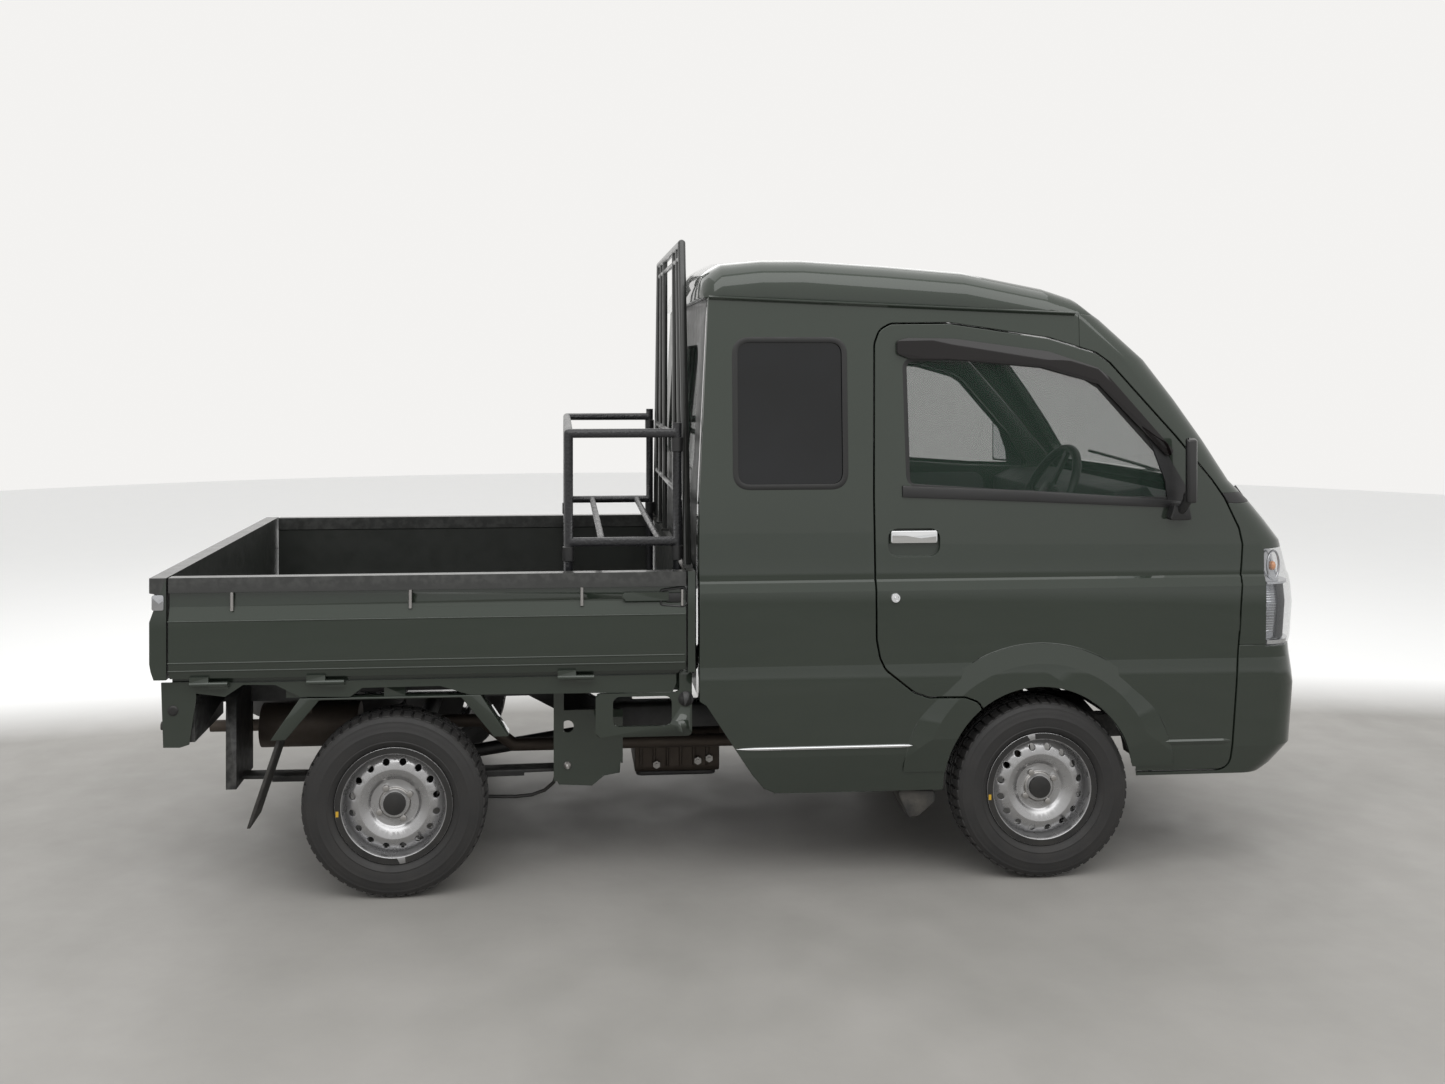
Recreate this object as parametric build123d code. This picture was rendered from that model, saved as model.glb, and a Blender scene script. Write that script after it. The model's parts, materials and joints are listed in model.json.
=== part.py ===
from build123d import *
import math
import os

# Kei truck: extended high-roof cab, three-way drop-side bed, pipe rack in the bed.
# Millimetres. +X forward, +Y left, +Z up. Origin on the ground, halfway along the length.

# Overall sizes
LENGTH = 3395
WIDTH = 1475
WHEELBASE = 1905
REAR_OVERHANG = 670
TRACK_REAR = 1290
TRACK_FRONT = 1305
HALF = WIDTH / 2
TAIL_X = -LENGTH / 2
NOSE_X = LENGTH / 2
REAR_AXLE_X = TAIL_X + REAR_OVERHANG
FRONT_AXLE_X = REAR_AXLE_X + WHEELBASE

# Wheels
TYRE_R = 265
TYRE_W = 145
TREAD_W = 118
TYRE_SEAT_R = 154
RIM_FLANGE_R = 168
RIM_W = 118
RIM_SKIN = 5
VENT_COUNT = 16
VENT_R = 9.5
VENT_RING_R = 122
HUB_HOLE_R = 30
NUT_COUNT = 4
NUT_RING_R = 50
NUT_R = 9
BEARING_GAP = 0.4
SPINDLE_R = HUB_HOLE_R - BEARING_GAP
SPINDLE_OUT = 31.2

# Clearances
SEAM = 5
MOVE_GAP = 6
SEAT_GAP = 0.3

# Cab
WALL = 42
GLASS = 5
GLASS_INSET = 6
CORNER_R = 100
CAB_REAR_X = -150
GUTTER_REAR_Z = 1727
GUTTER_SLOPE = -0.0405
BELT_SPLIT_Z = 1112
COWL_TOP_Z = 1142
BUMPER_TOP_Z = 689
HEADER_SPLIT_X = 1000

# Cab cross sections by height, as columns
# z, half width, front at the middle, bow of the front, rear
CAB_SECTIONS = [
    (268, HALF - 26, 1560, 14, CAB_REAR_X),
    (325, HALF - 15, 1634, 14, CAB_REAR_X),
    (385, HALF - 7, 1688, 15, CAB_REAR_X),
    (567, HALF, NOSE_X, 15, CAB_REAR_X),
    (604, HALF, 1693.2, 15, CAB_REAR_X),
    (650, HALF - 4, 1687.9, 15, CAB_REAR_X),
    (684, HALF - 4, 1684, 15, CAB_REAR_X),
    (704, HALF - 4, 1690, 15, CAB_REAR_X),
    (811, HALF - 2, NOSE_X, 16, CAB_REAR_X),
    (866, HALF - 2, 1693.7, 17.5, CAB_REAR_X),
    (892, HALF - 9, 1691.9, 18, CAB_REAR_X),
    (898, HALF - 15, 1690.7, 18.5, CAB_REAR_X),
    (920, HALF - 14, 1686, 20, CAB_REAR_X),
    (995, HALF - 16, 1672, 25, CAB_REAR_X),
    (1056, HALF - 18, 1640, 40, CAB_REAR_X + 1),
    (1117, HALF - 20, 1604, 55, CAB_REAR_X + 2),
    (1176, HALF - 24, 1555, 65, CAB_REAR_X + 4),
    (1299, HALF - 31, 1483, 72, CAB_REAR_X + 10),
    (1421, HALF - 38, 1401, 76, CAB_REAR_X + 16),
    (1543, HALF - 45, 1311, 80, CAB_REAR_X + 22),
    (1664, HALF - 51, 1181, 85, CAB_REAR_X + 28),
    (1760, HALF - 56, 1050, 85, CAB_REAR_X + 32),
]

# Wheel arches: opening, flat lip of the flare, and the foot of its slope
ARCH_X = 862
ARCH_Z = 291
ARCH_R = 286
FLARE_LIP_R = 355
FLARE_R = 414
FLARE_OUT = 6
FLARE_FADE = (330, 430)
WELL_R = 312
SKIN = 12

# Raised roof: rear limit, slope of its front and cross sections along the length, as columns
# x, half width, height at the shoulder, height at the middle
ROOF_REAR_X = -138
ROOF_FRONT = [(1600, 1271), (1920, 835)]
ROOF_LOW_Z = 1500
ROOF_LEAN = 8
SHOULDER_IN = 72
SHOULDER_DROP = 70
ROOF_SECTIONS = [
    (ROOF_REAR_X, 606, 1772, 1800),
    (-128, 640, 1795, 1822),
    (-105, 662, 1811, 1840),
    (-74, 671, 1828, 1858),
    (46, 673, 1840, 1872),
    (168, 673, 1841, 1873),
    (413, 673, 1827, 1860),
    (661, 673, 1808, 1842),
    (912, 673, 1760, 1800),
    (1000, 673, 1732, 1779),
    (1101, 673, 1688, 1748),
    (1290, 673, 1610, 1690),
]

# Load bed
BED_FLOOR_Z = 640
BED_FRONT_X = -163
BED_INNER_Y = 705
GATE_BOTTOM_Z = 645
RAIL_TOP_Z = 931
RAIL_H = 45
TAILGATE_T = 46
GATE_FRONT_X = -190
HINGE_R = 7
HINGE_Y = HALF - HINGE_R
HINGE_Z = 630
TAIL_HINGE_X = TAIL_X + 8

# Chassis
RAIL_Y = 385
RAIL_W = 50
SPRING_Y = 505
SPRING_W = 60
SPRING_REAR_X = -1493
SPRING_FRONT_X = -572
LEAF_R = 30000
LEAF_T = 9
LEAF_TOP_Z = 306
LEAF_SPANS = (460.5, 372, 262)


def prism_y(points, y0, y1):
    """Outline of (x, z) points carried from y0 to y1."""
    face = make_face(Polyline(*[(x, y0, z) for x, z in points], close=True))
    return extrude(face, amount=y1 - y0, dir=(0, 1, 0))


def prism_x(points, x0, x1):
    """Outline of (y, z) points carried from x0 to x1."""
    face = make_face(Polyline(*[(x0, y, z) for y, z in points], close=True))
    return extrude(face, amount=x1 - x0, dir=(1, 0, 0))


def block(x0, x1, y0, y1, z0, z1):
    """Box between two corners."""
    centre = ((x0 + x1) / 2, (y0 + y1) / 2, (z0 + z1) / 2)
    return Pos(*centre) * Box(abs(x1 - x0), abs(y1 - y0), abs(z1 - z0))


def rod(p, q, r):
    """Round bar from p to q."""
    start = Vector(*p)
    run = Vector(*q) - start
    plane = Plane(origin=start, z_dir=run.normalized())
    return extrude(plane * Circle(r), amount=run.length)


def disc_y(x, y0, y1, z, r):
    """Round bar along Y."""
    return rod((x, y0, z), (x, y1, z), r)


def mirrored(shape):
    """The same piece on the left side."""
    return mirror(shape, about=Plane.XZ)


def one(shape):
    """Unwrap a result into a plain solid or a compound of solids."""
    solids = shape.solids()
    return solids[0] if len(solids) == 1 else Compound(children=list(solids))


def fuse(*pieces):
    """Join pieces into one."""
    whole = pieces[0]
    for piece in pieces[1:]:
        whole = whole + piece
    return whole


def plan_wire(z, half, front, bow, rear, inset):
    """Outline of the cab seen from above at one height, drawn in by inset."""
    r = CORNER_R - inset
    h = half - inset
    f = front - inset
    b = rear + inset
    side_x = f - bow - r
    side = h - r
    c = r * (1 - math.sqrt(0.5))
    right = Line((b, -h, z), (side_x, -h, z))
    corner_r = ThreePointArc((side_x, -h, z), (f - bow - c, -h + c, z), (f - bow, -side, z))
    face = ThreePointArc((f - bow, -side, z), (f, 0, z), (f - bow, side, z))
    corner_l = ThreePointArc((f - bow, side, z), (f - bow - c, h - c, z), (side_x, h, z))
    left = Line((side_x, h, z), (b, h, z))
    back = Line((b, h, z), (b, -h, z))
    return Wire([e for p in (right, corner_r, face, corner_l, left, back) for e in p.edges()])


def cab_form(inset, stretch=0):
    """Solid form of the cab up to the roof, drawn in by inset and taller by stretch at both ends."""
    wires = []
    for i, (z, half, front, bow, rear) in enumerate(CAB_SECTIONS):
        if i == 0:
            z = z - stretch
        if i == len(CAB_SECTIONS) - 1:
            z = z + stretch
        wires.append(plan_wire(z, half, front, bow, rear, inset))
    return Solid.make_loft(wires, ruled=True)


def gutter_z(x):
    """Height of the drip rail at x."""
    return GUTTER_REAR_Z + GUTTER_SLOPE * (x - CAB_REAR_X)


def above_gutter():
    """Everything above the drip rail."""
    far = 1800
    points = [(-400, gutter_z(-400)), (far, gutter_z(far)), (far, 2600), (-400, 2600)]
    return prism_y(points, -1000, 1000)


# Door outline in side view (x, z), clockwise from the lower rear corner, and its sash window
DOOR_EDGE = [
    (374, 724), (370, 1135), (377, 1590), (392, 1630), (425, 1648), (600, 1650), (905, 1606),
    (1050, 1562), (1092, 1532), (1290, 1312), (1401, 1180), (1436, 1128), (1480, 1036),
    (1490, 988), (1484, 905), (1475, 734), (1464, 591), (1454, 395), (1448, 315),
    (1120, 315), (1000, 400), (700, 480), (680, 537), (634, 554), (529, 553), (484, 569), (400, 636), (384, 670),
]
DOOR_WINDOW = [
    (466, 1166), (459, 1530), (478, 1548), (600, 1555), (880, 1530), (1020, 1492), (1060, 1468),
    (1255, 1250), (1330, 1130), (1322, 1118), (1100, 1124),
]
QUARTER_WINDOW = (-42, 284, 1170, 1602)
QUARTER_R = 45
SILL_CUT = [
    (-400, 559), (-158, 559), (-130, 540), (4, 334), (40, 290), (73, 274), (300, 272),
    (590, 272), (590, 200), (-400, 200),
]
DOOR_HINGE_Z = (750, 850)
DOOR_ROUND = 40
SCREEN_ROUND = 60
HANDLE_DISH = (409, 564, 964, 1045)
HANDLE_FLAP = (415, 558, 1002, 1041)
DISH_DEPTH = 15
WINDSCREEN = [(-652, 1150), (652, 1150), (604, 1640), (-604, 1640)]
REAR_WINDOW = [(-500, 1200), (500, 1200), (470, 1590), (-470, 1590)]
LAMP_BOX = (1560, 1800, 470, 800, 684, 974)
GRILLE_HOLE = (-440, 440, 716, 770)
INTAKE_HOLE = (-420, 420, 395, 520)


def corner(before, at, after, r):
    """Start, middle and end of the round at one corner of an outline."""
    to_before = before - at
    to_after = after - at
    half = math.radians(to_before.get_angle(to_after)) / 2
    reach = min(r / math.tan(half), 0.45 * to_before.length, 0.45 * to_after.length)
    radius = reach * math.tan(half)
    inward = (to_before.normalized() + to_after.normalized()).normalized()
    middle = at + inward * (radius / math.sin(half) - radius)
    return at + to_before.normalized() * reach, middle, at + to_after.normalized() * reach


def grown(points, gap, r):
    """Face inside a closed outline with rounded corners, moved outwards by gap."""
    spots = [Vector(*p) for p in points]
    count = len(spots)
    rounds = [corner(spots[i - 1], spots[i], spots[(i + 1) % count], r) for i in range(count)]
    edges = []
    for i, (start, middle, end) in enumerate(rounds):
        edges.append(ThreePointArc(start, middle, end))
        edges.append(Line(end, rounds[(i + 1) % count][0]))
    face = make_face(Wire([e for part in edges for e in part.edges()]))
    return offset(face, amount=gap, kind=Kind.INTERSECTION) if gap else face


def side_cut(points, gap, y0, y1, r=DOOR_ROUND):
    """Outline of (x, z) points grown by gap and carried from y0 to y1."""
    face = grown(points, gap, r)
    turned = Plane(origin=(0, y0, 0), x_dir=(1, 0, 0), z_dir=(0, -1, 0)) * face
    return extrude(turned, amount=y1 - y0, dir=(0, 1, 0))


def front_cut(points, gap, x0, x1, r=SCREEN_ROUND):
    """Outline of (y, z) points grown by gap and carried from x0 to x1."""
    face = grown(points, gap, r)
    turned = Plane(origin=(x0, 0, 0), x_dir=(0, 1, 0), z_dir=(1, 0, 0)) * face
    return extrude(turned, amount=x1 - x0, dir=(1, 0, 0))


def rounded_cut(x0, x1, z0, z1, r, gap, y0, y1):
    """Rounded window opening carried from y0 to y1."""
    sketch = RectangleRounded(x1 - x0 + 2 * gap, z1 - z0 + 2 * gap, r + gap)
    plane = Plane(origin=((x0 + x1) / 2, y0, (z0 + z1) / 2), x_dir=(1, 0, 0), z_dir=(0, -1, 0))
    return extrude(plane * sketch, amount=y1 - y0, dir=(0, 1, 0))


OUTER = cab_form(0)
INNER = cab_form(WALL, 5)
LINED = cab_form(WALL + SEAT_GAP, 5)
CLEARED = cab_form(WALL + MOVE_GAP + 2, 5)
GLASS_OUT = cab_form(GLASS_INSET, 1)
GLASS_IN = cab_form(GLASS_INSET + GLASS, 5)

SHELL = OUTER - INNER - above_gutter()
GLASS_LAYER = GLASS_OUT - GLASS_IN


def wheel_well(side):
    """Room that a steered front wheel sweeps, open below."""
    y0 = side * 300
    y1 = side * (HALF - SKIN)
    swept = Pos(FRONT_AXLE_X, side * 590, 300) * Cylinder(WELL_R, 580)
    return swept & block(0, 1800, min(y0, y1), max(y0, y1), 0, 592)


def arch_opening(y0, y1):
    """Round wheel opening in the side, open below."""
    hole = disc_y(ARCH_X, y0, y1, ARCH_Z, ARCH_R)
    below = block(ARCH_X - ARCH_R, ARCH_X + ARCH_R, y0, y1, 0, ARCH_Z)
    return hole + below


def arch_flare():
    """Flare round the right wheel arch: a sloped band and a flat lip, faded out above the sill."""
    ring = [
        (ARCH_R - 4, -HALF + 10), (ARCH_R - 4, -HALF - FLARE_OUT), (FLARE_LIP_R, -HALF - FLARE_OUT),
        (FLARE_R, -HALF + 3), (FLARE_R, -HALF + 10),
    ]
    face = make_face(Polyline(*[(r, y) for r, y in ring], close=True))
    flare = Pos(ARCH_X, 0, ARCH_Z) * revolve(face, Axis.Y)
    low, high = FLARE_FADE
    fade = [(-HALF - FLARE_OUT, high), (-HALF + 10, low), (-HALF + 10, 760), (-HALF - FLARE_OUT, 760)]
    return (flare & prism_x(fade, 400, 1460)) - arch_opening(-800, -500)


def door_right():
    """Right door: full thickness panel with its window, handle dish and upper wheel arch cut."""
    door = SHELL & side_cut(DOOR_EDGE, 0, -HALF - 30, -560)
    door = door - arch_opening(-800, -500) - wheel_well(-1)
    door = door - side_cut(DOOR_WINDOW, 0, -800, -500)
    flare = arch_flare() & side_cut(DOOR_EDGE, 0, -HALF - 30, -560)
    face = -HALF + 16
    dish = rounded_cut(*HANDLE_DISH, 30, 0, -800, face + DISH_DEPTH)
    x0, x1, z0, z1 = HANDLE_FLAP
    return door + flare - dish + block(x0, x1, face, face + DISH_DEPTH + 2, z0, z1)


def quarter_right():
    """Right body side behind the door, with the sill under it."""
    side = SHELL & block(-400, HEADER_SPLIT_X, -900, -640, 200, 1900)
    side = side - side_cut(DOOR_EDGE, SEAM, -HALF - 30, -560)
    side = side - prism_y(SILL_CUT, -900, 900)
    side = side - arch_opening(-800, -500) - wheel_well(-1)
    window = QUARTER_WINDOW
    side = side - rounded_cut(*window, QUARTER_R, 0, -800, -500)
    flare = arch_flare() & block(400, 700, -900, -640, 300, 600)
    side = side + (flare - side_cut(DOOR_EDGE, SEAM, -HALF - 30, -560))
    pieces = sorted(side.solids(), key=lambda s: s.volume)
    return pieces[-1]


def cab_rear_panel():
    """Rear wall of the cab with its window."""
    wall = SHELL & block(-400, CAB_REAR_X + WALL + 40, -640, 640, 200, 1900)
    wall = wall - prism_y(SILL_CUT, -900, 900)
    return wall - front_cut(REAR_WINDOW, 0, -400, 0)


def front_zone(z0, z1):
    """Slab of the cab ahead of the doors, between two heights."""
    return block(HEADER_SPLIT_X, 1900, -900, 900, z0, z1)


def windscreen_frame():
    """Screen pillars and header."""
    frame = SHELL & front_zone(COWL_TOP_Z, 1900)
    for side in (-1, 1):
        y0, y1 = sorted((side * 560, side * 900))
        frame = frame - side_cut(DOOR_EDGE, SEAM, y0, y1)
    return frame - front_cut(WINDSCREEN, 0, 900, 1900)


def cowl():
    """Dark panel at the foot of the windscreen."""
    strip = SHELL & front_zone(BELT_SPLIT_Z, COWL_TOP_Z)
    for side in (-1, 1):
        y0, y1 = sorted((side * 560, side * 900))
        strip = strip - side_cut(DOOR_EDGE, SEAM, y0, y1)
    return strip


def lamp_box(side, gap):
    """Room of one headlamp at the front corner."""
    x0, x1, y0, y1, z0, z1 = LAMP_BOX
    a, b = sorted((side * (y0 - gap), side * y1))
    return block(x0 - gap, x1, a, b, z0 - gap, z1 + gap)


def front_panel():
    """Nose panel between bumper and windscreen, open for the lamps and the grille."""
    panel = SHELL & front_zone(BUMPER_TOP_Z, BELT_SPLIT_Z)
    for side in (-1, 1):
        y0, y1 = sorted((side * 560, side * 900))
        panel = panel - side_cut(DOOR_EDGE, SEAM, y0, y1) - lamp_box(side, SEAT_GAP)
    for z in DOOR_HINGE_Z:
        for side in (-1, 1):
            a, b = sorted((side * (HALF - 10), side * (HALF - WALL + 4)))
            leaf = block(1460, 1500, a, b, z - 22, z + 22)
            y0, y1 = sorted((side * 560, side * 900))
            panel = panel + (leaf - side_cut(DOOR_EDGE, SEAT_GAP, y0, y1))
    y0, y1, z0, z1 = GRILLE_HOLE
    return panel - block(1500, 1900, y0, y1, z0, z1)


def front_bumper():
    """Wrap-round bumper with its air intake."""
    panel = SHELL & front_zone(300, BUMPER_TOP_Z - SEAT_GAP)
    for side in (-1, 1):
        y0, y1 = sorted((side * 560, side * 900))
        panel = panel - side_cut(DOOR_EDGE, SEAM, y0, y1) - lamp_box(side, SEAT_GAP)
        panel = panel - wheel_well(side)
    y0, y1, z0, z1 = INTAKE_HOLE
    panel = panel - block(1500, 1900, y0, y1, z0, z1)
    return max(panel.solids(), key=lambda s: s.volume)


def slats(hole, count, depth):
    """Frame of slats that fills a hole in the nose."""
    y0, y1, z0, z1 = hole
    pitch = (z1 - z0) / (count + 1)
    bars = [block(1500, 1900, y0 + SEAT_GAP, y1 - SEAT_GAP, z - 4, z + 4)
            for z in (z0 + pitch * (i + 1) for i in range(count))]
    posts = [block(1500, 1900, y - 5, y + 5, z0 + SEAT_GAP, z1 - SEAT_GAP)
             for y in (y0 + 6, 0, y1 - 6)]
    layer = cab_form(8) - cab_form(8 + depth, 5)
    return fuse(*bars, *posts) & layer


# Side view of the cab floor: over the engine, footwell, toe board and back underneath
FLOOR_T = 22
FLOOR_REAR_X = CAB_REAR_X + WALL - 60
FLOOR_LINE = [
    (FLOOR_REAR_X, 790), (840, 790), (860, 640), (1180, 640), (1200, 440), (1480, 440), (1560, 560),
    (1600, 740), (1620, 740), (1580, 545), (1490, 440 - FLOOR_T - 3), (1182, 440 - FLOOR_T - 3),
    (1162, 640 - FLOOR_T), (842, 640 - FLOOR_T), (822, 790 - FLOOR_T), (FLOOR_REAR_X, 790 - FLOOR_T),
]
FLOOR_SPLIT_X = 352
STRUT_TOP_R = 46


def cab_floor():
    """Stepped floor with the covers over engine and front wheels, and the toe board."""
    form = prism_y(FLOOR_LINE, -900, 900)
    behind = LINED & form & block(-400, FLOOR_SPLIT_X, -900, 900, 0, 1000)
    ahead = CLEARED & form & block(FLOOR_SPLIT_X, 1900, -900, 900, 0, 1000)
    ahead = ahead - wheel_well(1) - wheel_well(-1)
    floor = behind + ahead
    for side in (-1, 1):
        low, high = kingpin(side)
        floor = floor + rod(high, point_on(low, high, 1.09), STRUT_TOP_R)
    return floor


def roof_wire(x, half, shoulder, crown, inset):
    """One cross section of the raised roof: leaning sides, round shoulders and a crowned top."""
    h = half - inset
    s = shoulder - inset
    base = (h + ROOF_LEAN, ROOF_LOW_Z)
    lean = (h - ROOF_LEAN, s - SHOULDER_DROP)
    bend = (h - 0.4 * SHOULDER_IN, s - 0.35 * SHOULDER_DROP)
    edge = (h - SHOULDER_IN, s)
    parts = [
        Line((x, *base), (x, *lean)),
        ThreePointArc((x, *lean), (x, *bend), (x, *edge)),
        ThreePointArc((x, *edge), (x, 0, crown - inset), (x, -edge[0], edge[1])),
        ThreePointArc((x, -edge[0], edge[1]), (x, -bend[0], bend[1]), (x, -lean[0], lean[1])),
        Line((x, -lean[0], lean[1]), (x, -base[0], base[1])),
        Line((x, -base[0], base[1]), (x, *base)),
    ]
    return Wire([e for part in parts for e in part.edges()])


def roof_form(inset):
    """Solid form of the raised roof, its front sloped and bowed like the windscreen."""
    wires = [roof_wire(*row, inset) for row in ROOF_SECTIONS]
    along = Solid.make_loft(wires, ruled=True)
    half = ROOF_SECTIONS[-1][1] + ROOF_LEAN
    plans = [plan_wire(z, half, front, 85, CAB_REAR_X - CORNER_R, inset) for z, front in ROOF_FRONT]
    front = Solid.make_loft(plans, ruled=True)
    return along & front & block(ROOF_REAR_X + inset, NOSE_X, -HALF, HALF, ROOF_LOW_Z, 2000)


def roof_panel():
    """Raised roof shell, open to the cab below."""
    cap = roof_form(0) & above_gutter()
    return cap - roof_form(WALL)


def windscreen():
    """Curved windscreen glass."""
    return GLASS_LAYER & front_cut(WINDSCREEN, -SEAT_GAP, 900, 1900)


def rear_window():
    """Flat rear window glass."""
    return GLASS_LAYER & front_cut(REAR_WINDOW, -SEAT_GAP, -400, 0)


def quarter_glass(side):
    """Fixed dark glass behind one door."""
    y0, y1 = sorted((side * 560, side * 900))
    return GLASS_LAYER & rounded_cut(*QUARTER_WINDOW, QUARTER_R, -SEAT_GAP, y0, y1)


def door_glass_right():
    """Glass of the right door."""
    return GLASS_LAYER & side_cut(DOOR_WINDOW, -SEAT_GAP, -900, -560)


def headlamp(side):
    """Tall corner lamp, one closed body."""
    return (OUTER - INNER) & lamp_box(side, 0) - block(0, 1900, -900, 900, 0, BUMPER_TOP_Z - 5)


VISOR_OUT = 14
VISOR_BAND = [
    (440, 1560), (440, 1600), (470, 1608), (610, 1606), (900, 1568), (1050, 1520), (1085, 1492),
    (1280, 1270), (1262, 1250), (1050, 1470), (880, 1520), (600, 1545), (480, 1545),
]


def door_visor_right():
    """Smoked wind deflector over the right door window."""
    sleeve = cab_form(-VISOR_OUT) - cab_form(-SEAT_GAP)
    return sleeve & side_cut(VISOR_BAND, 0, -900, -560, 12)


MIRROR = (1273, -818, 1220)
MIRROR_SIZE = (48, 130, 190)


def door_mirror_right():
    """Right mirror: housing on a short arm at the foot of the sash."""
    housing = Pos(*MIRROR) * Box(*MIRROR_SIZE)
    housing = fillet(housing.edges().filter_by(Axis.X), 45)
    housing = fillet(housing.edges(), 14)
    x, y, z = MIRROR
    foot = block(1250, 1325, -735, -HALF + 22, 1064, 1112)
    arm = rod((1272, -724, 1088), (x, y + 30, z - 85), 16)
    return housing + arm + (foot - OUTER) - OUTER


def gate_profile():
    """Side gate section as (outward distance, z)."""
    out = HALF
    return [
        (-BED_INNER_Y, GATE_BOTTOM_Z), (-(out - 12), GATE_BOTTOM_Z), (-(out - 4), 668), (-out, 691),
        (-out, 808), (-(out - 14), 847), (-(out - 14), RAIL_TOP_Z - RAIL_H), (-out, RAIL_TOP_Z - RAIL_H + 3),
        (-out, RAIL_TOP_Z), (-(BED_INNER_Y - 4), RAIL_TOP_Z), (-(BED_INNER_Y - 4), RAIL_TOP_Z - RAIL_H),
        (-BED_INNER_Y, RAIL_TOP_Z - RAIL_H - 4),
    ]


# Gate hinges: each has one moving eye and its fixed neighbours on the bed
HINGE_W = 110
EYE_W = 36
EYE_GAP = 0.4
BARREL_W = 52
GATE_HINGES = [-1537, -1214.5, -507]
TAIL_HINGES = [-480, 0, 480]
ROPE_HOOKS = [-1473, -977, -490]
HOOK_R = 5
LEVER = (-362, -240, 848, 872)
LEVER_T = 14


def side_gate_right():
    """Right side gate, a pressed panel under a top rail, with hinge eyes below."""
    rear = TAIL_X + TAILGATE_T + MOVE_GAP
    gate = prism_x(gate_profile(), rear, GATE_FRONT_X)
    for x in GATE_HINGES:
        near, far = x - BARREL_W - EYE_GAP / 2, x - EYE_GAP / 2
        eye = rod((near, -HINGE_Y, HINGE_Z), (far, -HINGE_Y, HINGE_Z), HINGE_R)
        gate = gate + eye + block(near, far, -HINGE_Y - 4, -HINGE_Y + 6, HINGE_Z, GATE_BOTTOM_Z + 6)
    for x in ROPE_HOOKS:
        gate = gate + rod((x, -HALF + HOOK_R + 1, 836), (x, -HALF + HOOK_R + 1, 890), HOOK_R)
    x0, x1, z0, z1 = LEVER
    r = (z1 - z0) / 2
    handle = block(x0, x1, -HALF, -HALF + LEVER_T, z0, z1)
    return gate + handle + disc_y(x0, -HALF, -HALF + LEVER_T, z0 + r, r)


def tailgate():
    """Tailgate, the same pressing across the rear, with hinge eyes below."""
    x = TAIL_X
    t = TAILGATE_T
    points = [
        (x + t, GATE_BOTTOM_Z), (x + 12, GATE_BOTTOM_Z), (x + 4, 668), (x, 691), (x, 808), (x + 14, 847),
        (x + 14, RAIL_TOP_Z - RAIL_H), (x, RAIL_TOP_Z - RAIL_H + 3), (x, RAIL_TOP_Z), (x + t, RAIL_TOP_Z),
    ]
    gate = prism_y(points, -HALF, HALF)
    for y in TAIL_HINGES:
        eye = rod((TAIL_HINGE_X, y - 18, HINGE_Z), (TAIL_HINGE_X, y + 18, HINGE_Z), HINGE_R)
        web = block(TAIL_HINGE_X - 4, TAIL_HINGE_X + 6, y - 18, y + 18, HINGE_Z, GATE_BOTTOM_Z + 6)
        gate = gate + eye + web
    return gate


# Bed floor: pressed ribs and cross members
RIB_W = 56
RIB_H = 6
RIB_PITCH = 150
BED_MEMBERS = (-1300, -1025, -750, -500)

# Edge of the bed's side frame in side view, plates under its rear corners and their stops
SIDE_LIP_TOP = BED_FLOOR_Z - 12
SIDE_LIP = [
    (-216, 603), (-226, 577), (-810, 581), (-895, 608), (-1115, 607), (-1149, 582), (-1289, 585),
    (-1358, 620), (-1447, 622), (-1497, 589), (-1630, 608),
]
CORNER_PLATE = [(-1673, 632), (-1577, 632), (-1577, 582), (-1596, 456), (-1621, 448), (-1667, 449)]
STOPPER = (-1667, 507)


def bed_floor():
    """Ribbed floor plate on cross members, with side rails and the fixed hinge halves."""
    rear = TAIL_X + TAILGATE_T + MOVE_GAP
    front = GATE_FRONT_X + MOVE_GAP
    edge = BED_INNER_Y - MOVE_GAP
    floor = block(rear, front, -edge, edge, SIDE_LIP_TOP, BED_FLOOR_Z)
    half = RIB_W / 2
    ribs = [block(rear + 60, front - 60, y - half, y + half, BED_FLOOR_Z, BED_FLOOR_Z + RIB_H)
            for y in range(-600, 601, RIB_PITCH)]
    members = [block(x - 30, x + 30, -edge, edge, BED_FLOOR_Z - 60, SIDE_LIP_TOP)
               for x in (rear + 30, *BED_MEMBERS, front - 30)]
    frame = fuse(floor, *ribs, *members)
    for side in (-1, 1):
        a, b = sorted((side * (edge - 18), side * (edge + 12)))
        frame = frame + prism_y([(rear, SIDE_LIP_TOP), (SIDE_LIP[0][0], SIDE_LIP_TOP), *SIDE_LIP], a, b)
        a, b = sorted((side * (edge + 6), side * (edge + 12)))
        plate = prism_y(CORNER_PLATE, a, b)
        c, d = sorted((side * (edge - 20), side * (edge + 6)))
        x, z = STOPPER
        frame = frame + plate + block(x, x + 12, c, d, z - 18, z + 18)
        frame = frame + rod((x + 2, side * (edge - 4), z), (x - 9, side * (edge - 4), z), 12)
        for x in GATE_HINGES:
            near, far = x + EYE_GAP / 2, x + EYE_GAP / 2 + BARREL_W
            y = side * HINGE_Y
            eye = rod((near, y, HINGE_Z), (far, y, HINGE_Z), HINGE_R)
            a, b = sorted((side * (HINGE_Y - 2), side * (edge + 6)))
            frame = frame + eye + block(near, far, a, b, HINGE_Z - 14, HINGE_Z - 4)
    for y in TAIL_HINGES:
        for end in (-1, 1):
            near, far = sorted((y + end * (EYE_W / 2 + EYE_GAP), y + end * HINGE_W / 2))
            eye = rod((TAIL_HINGE_X, near, HINGE_Z), (TAIL_HINGE_X, far, HINGE_Z), HINGE_R)
            frame = frame + eye + block(TAIL_HINGE_X - 2, rear + 6, near, far, HINGE_Z - 14, HINGE_Z - 4)
    return frame


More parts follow.
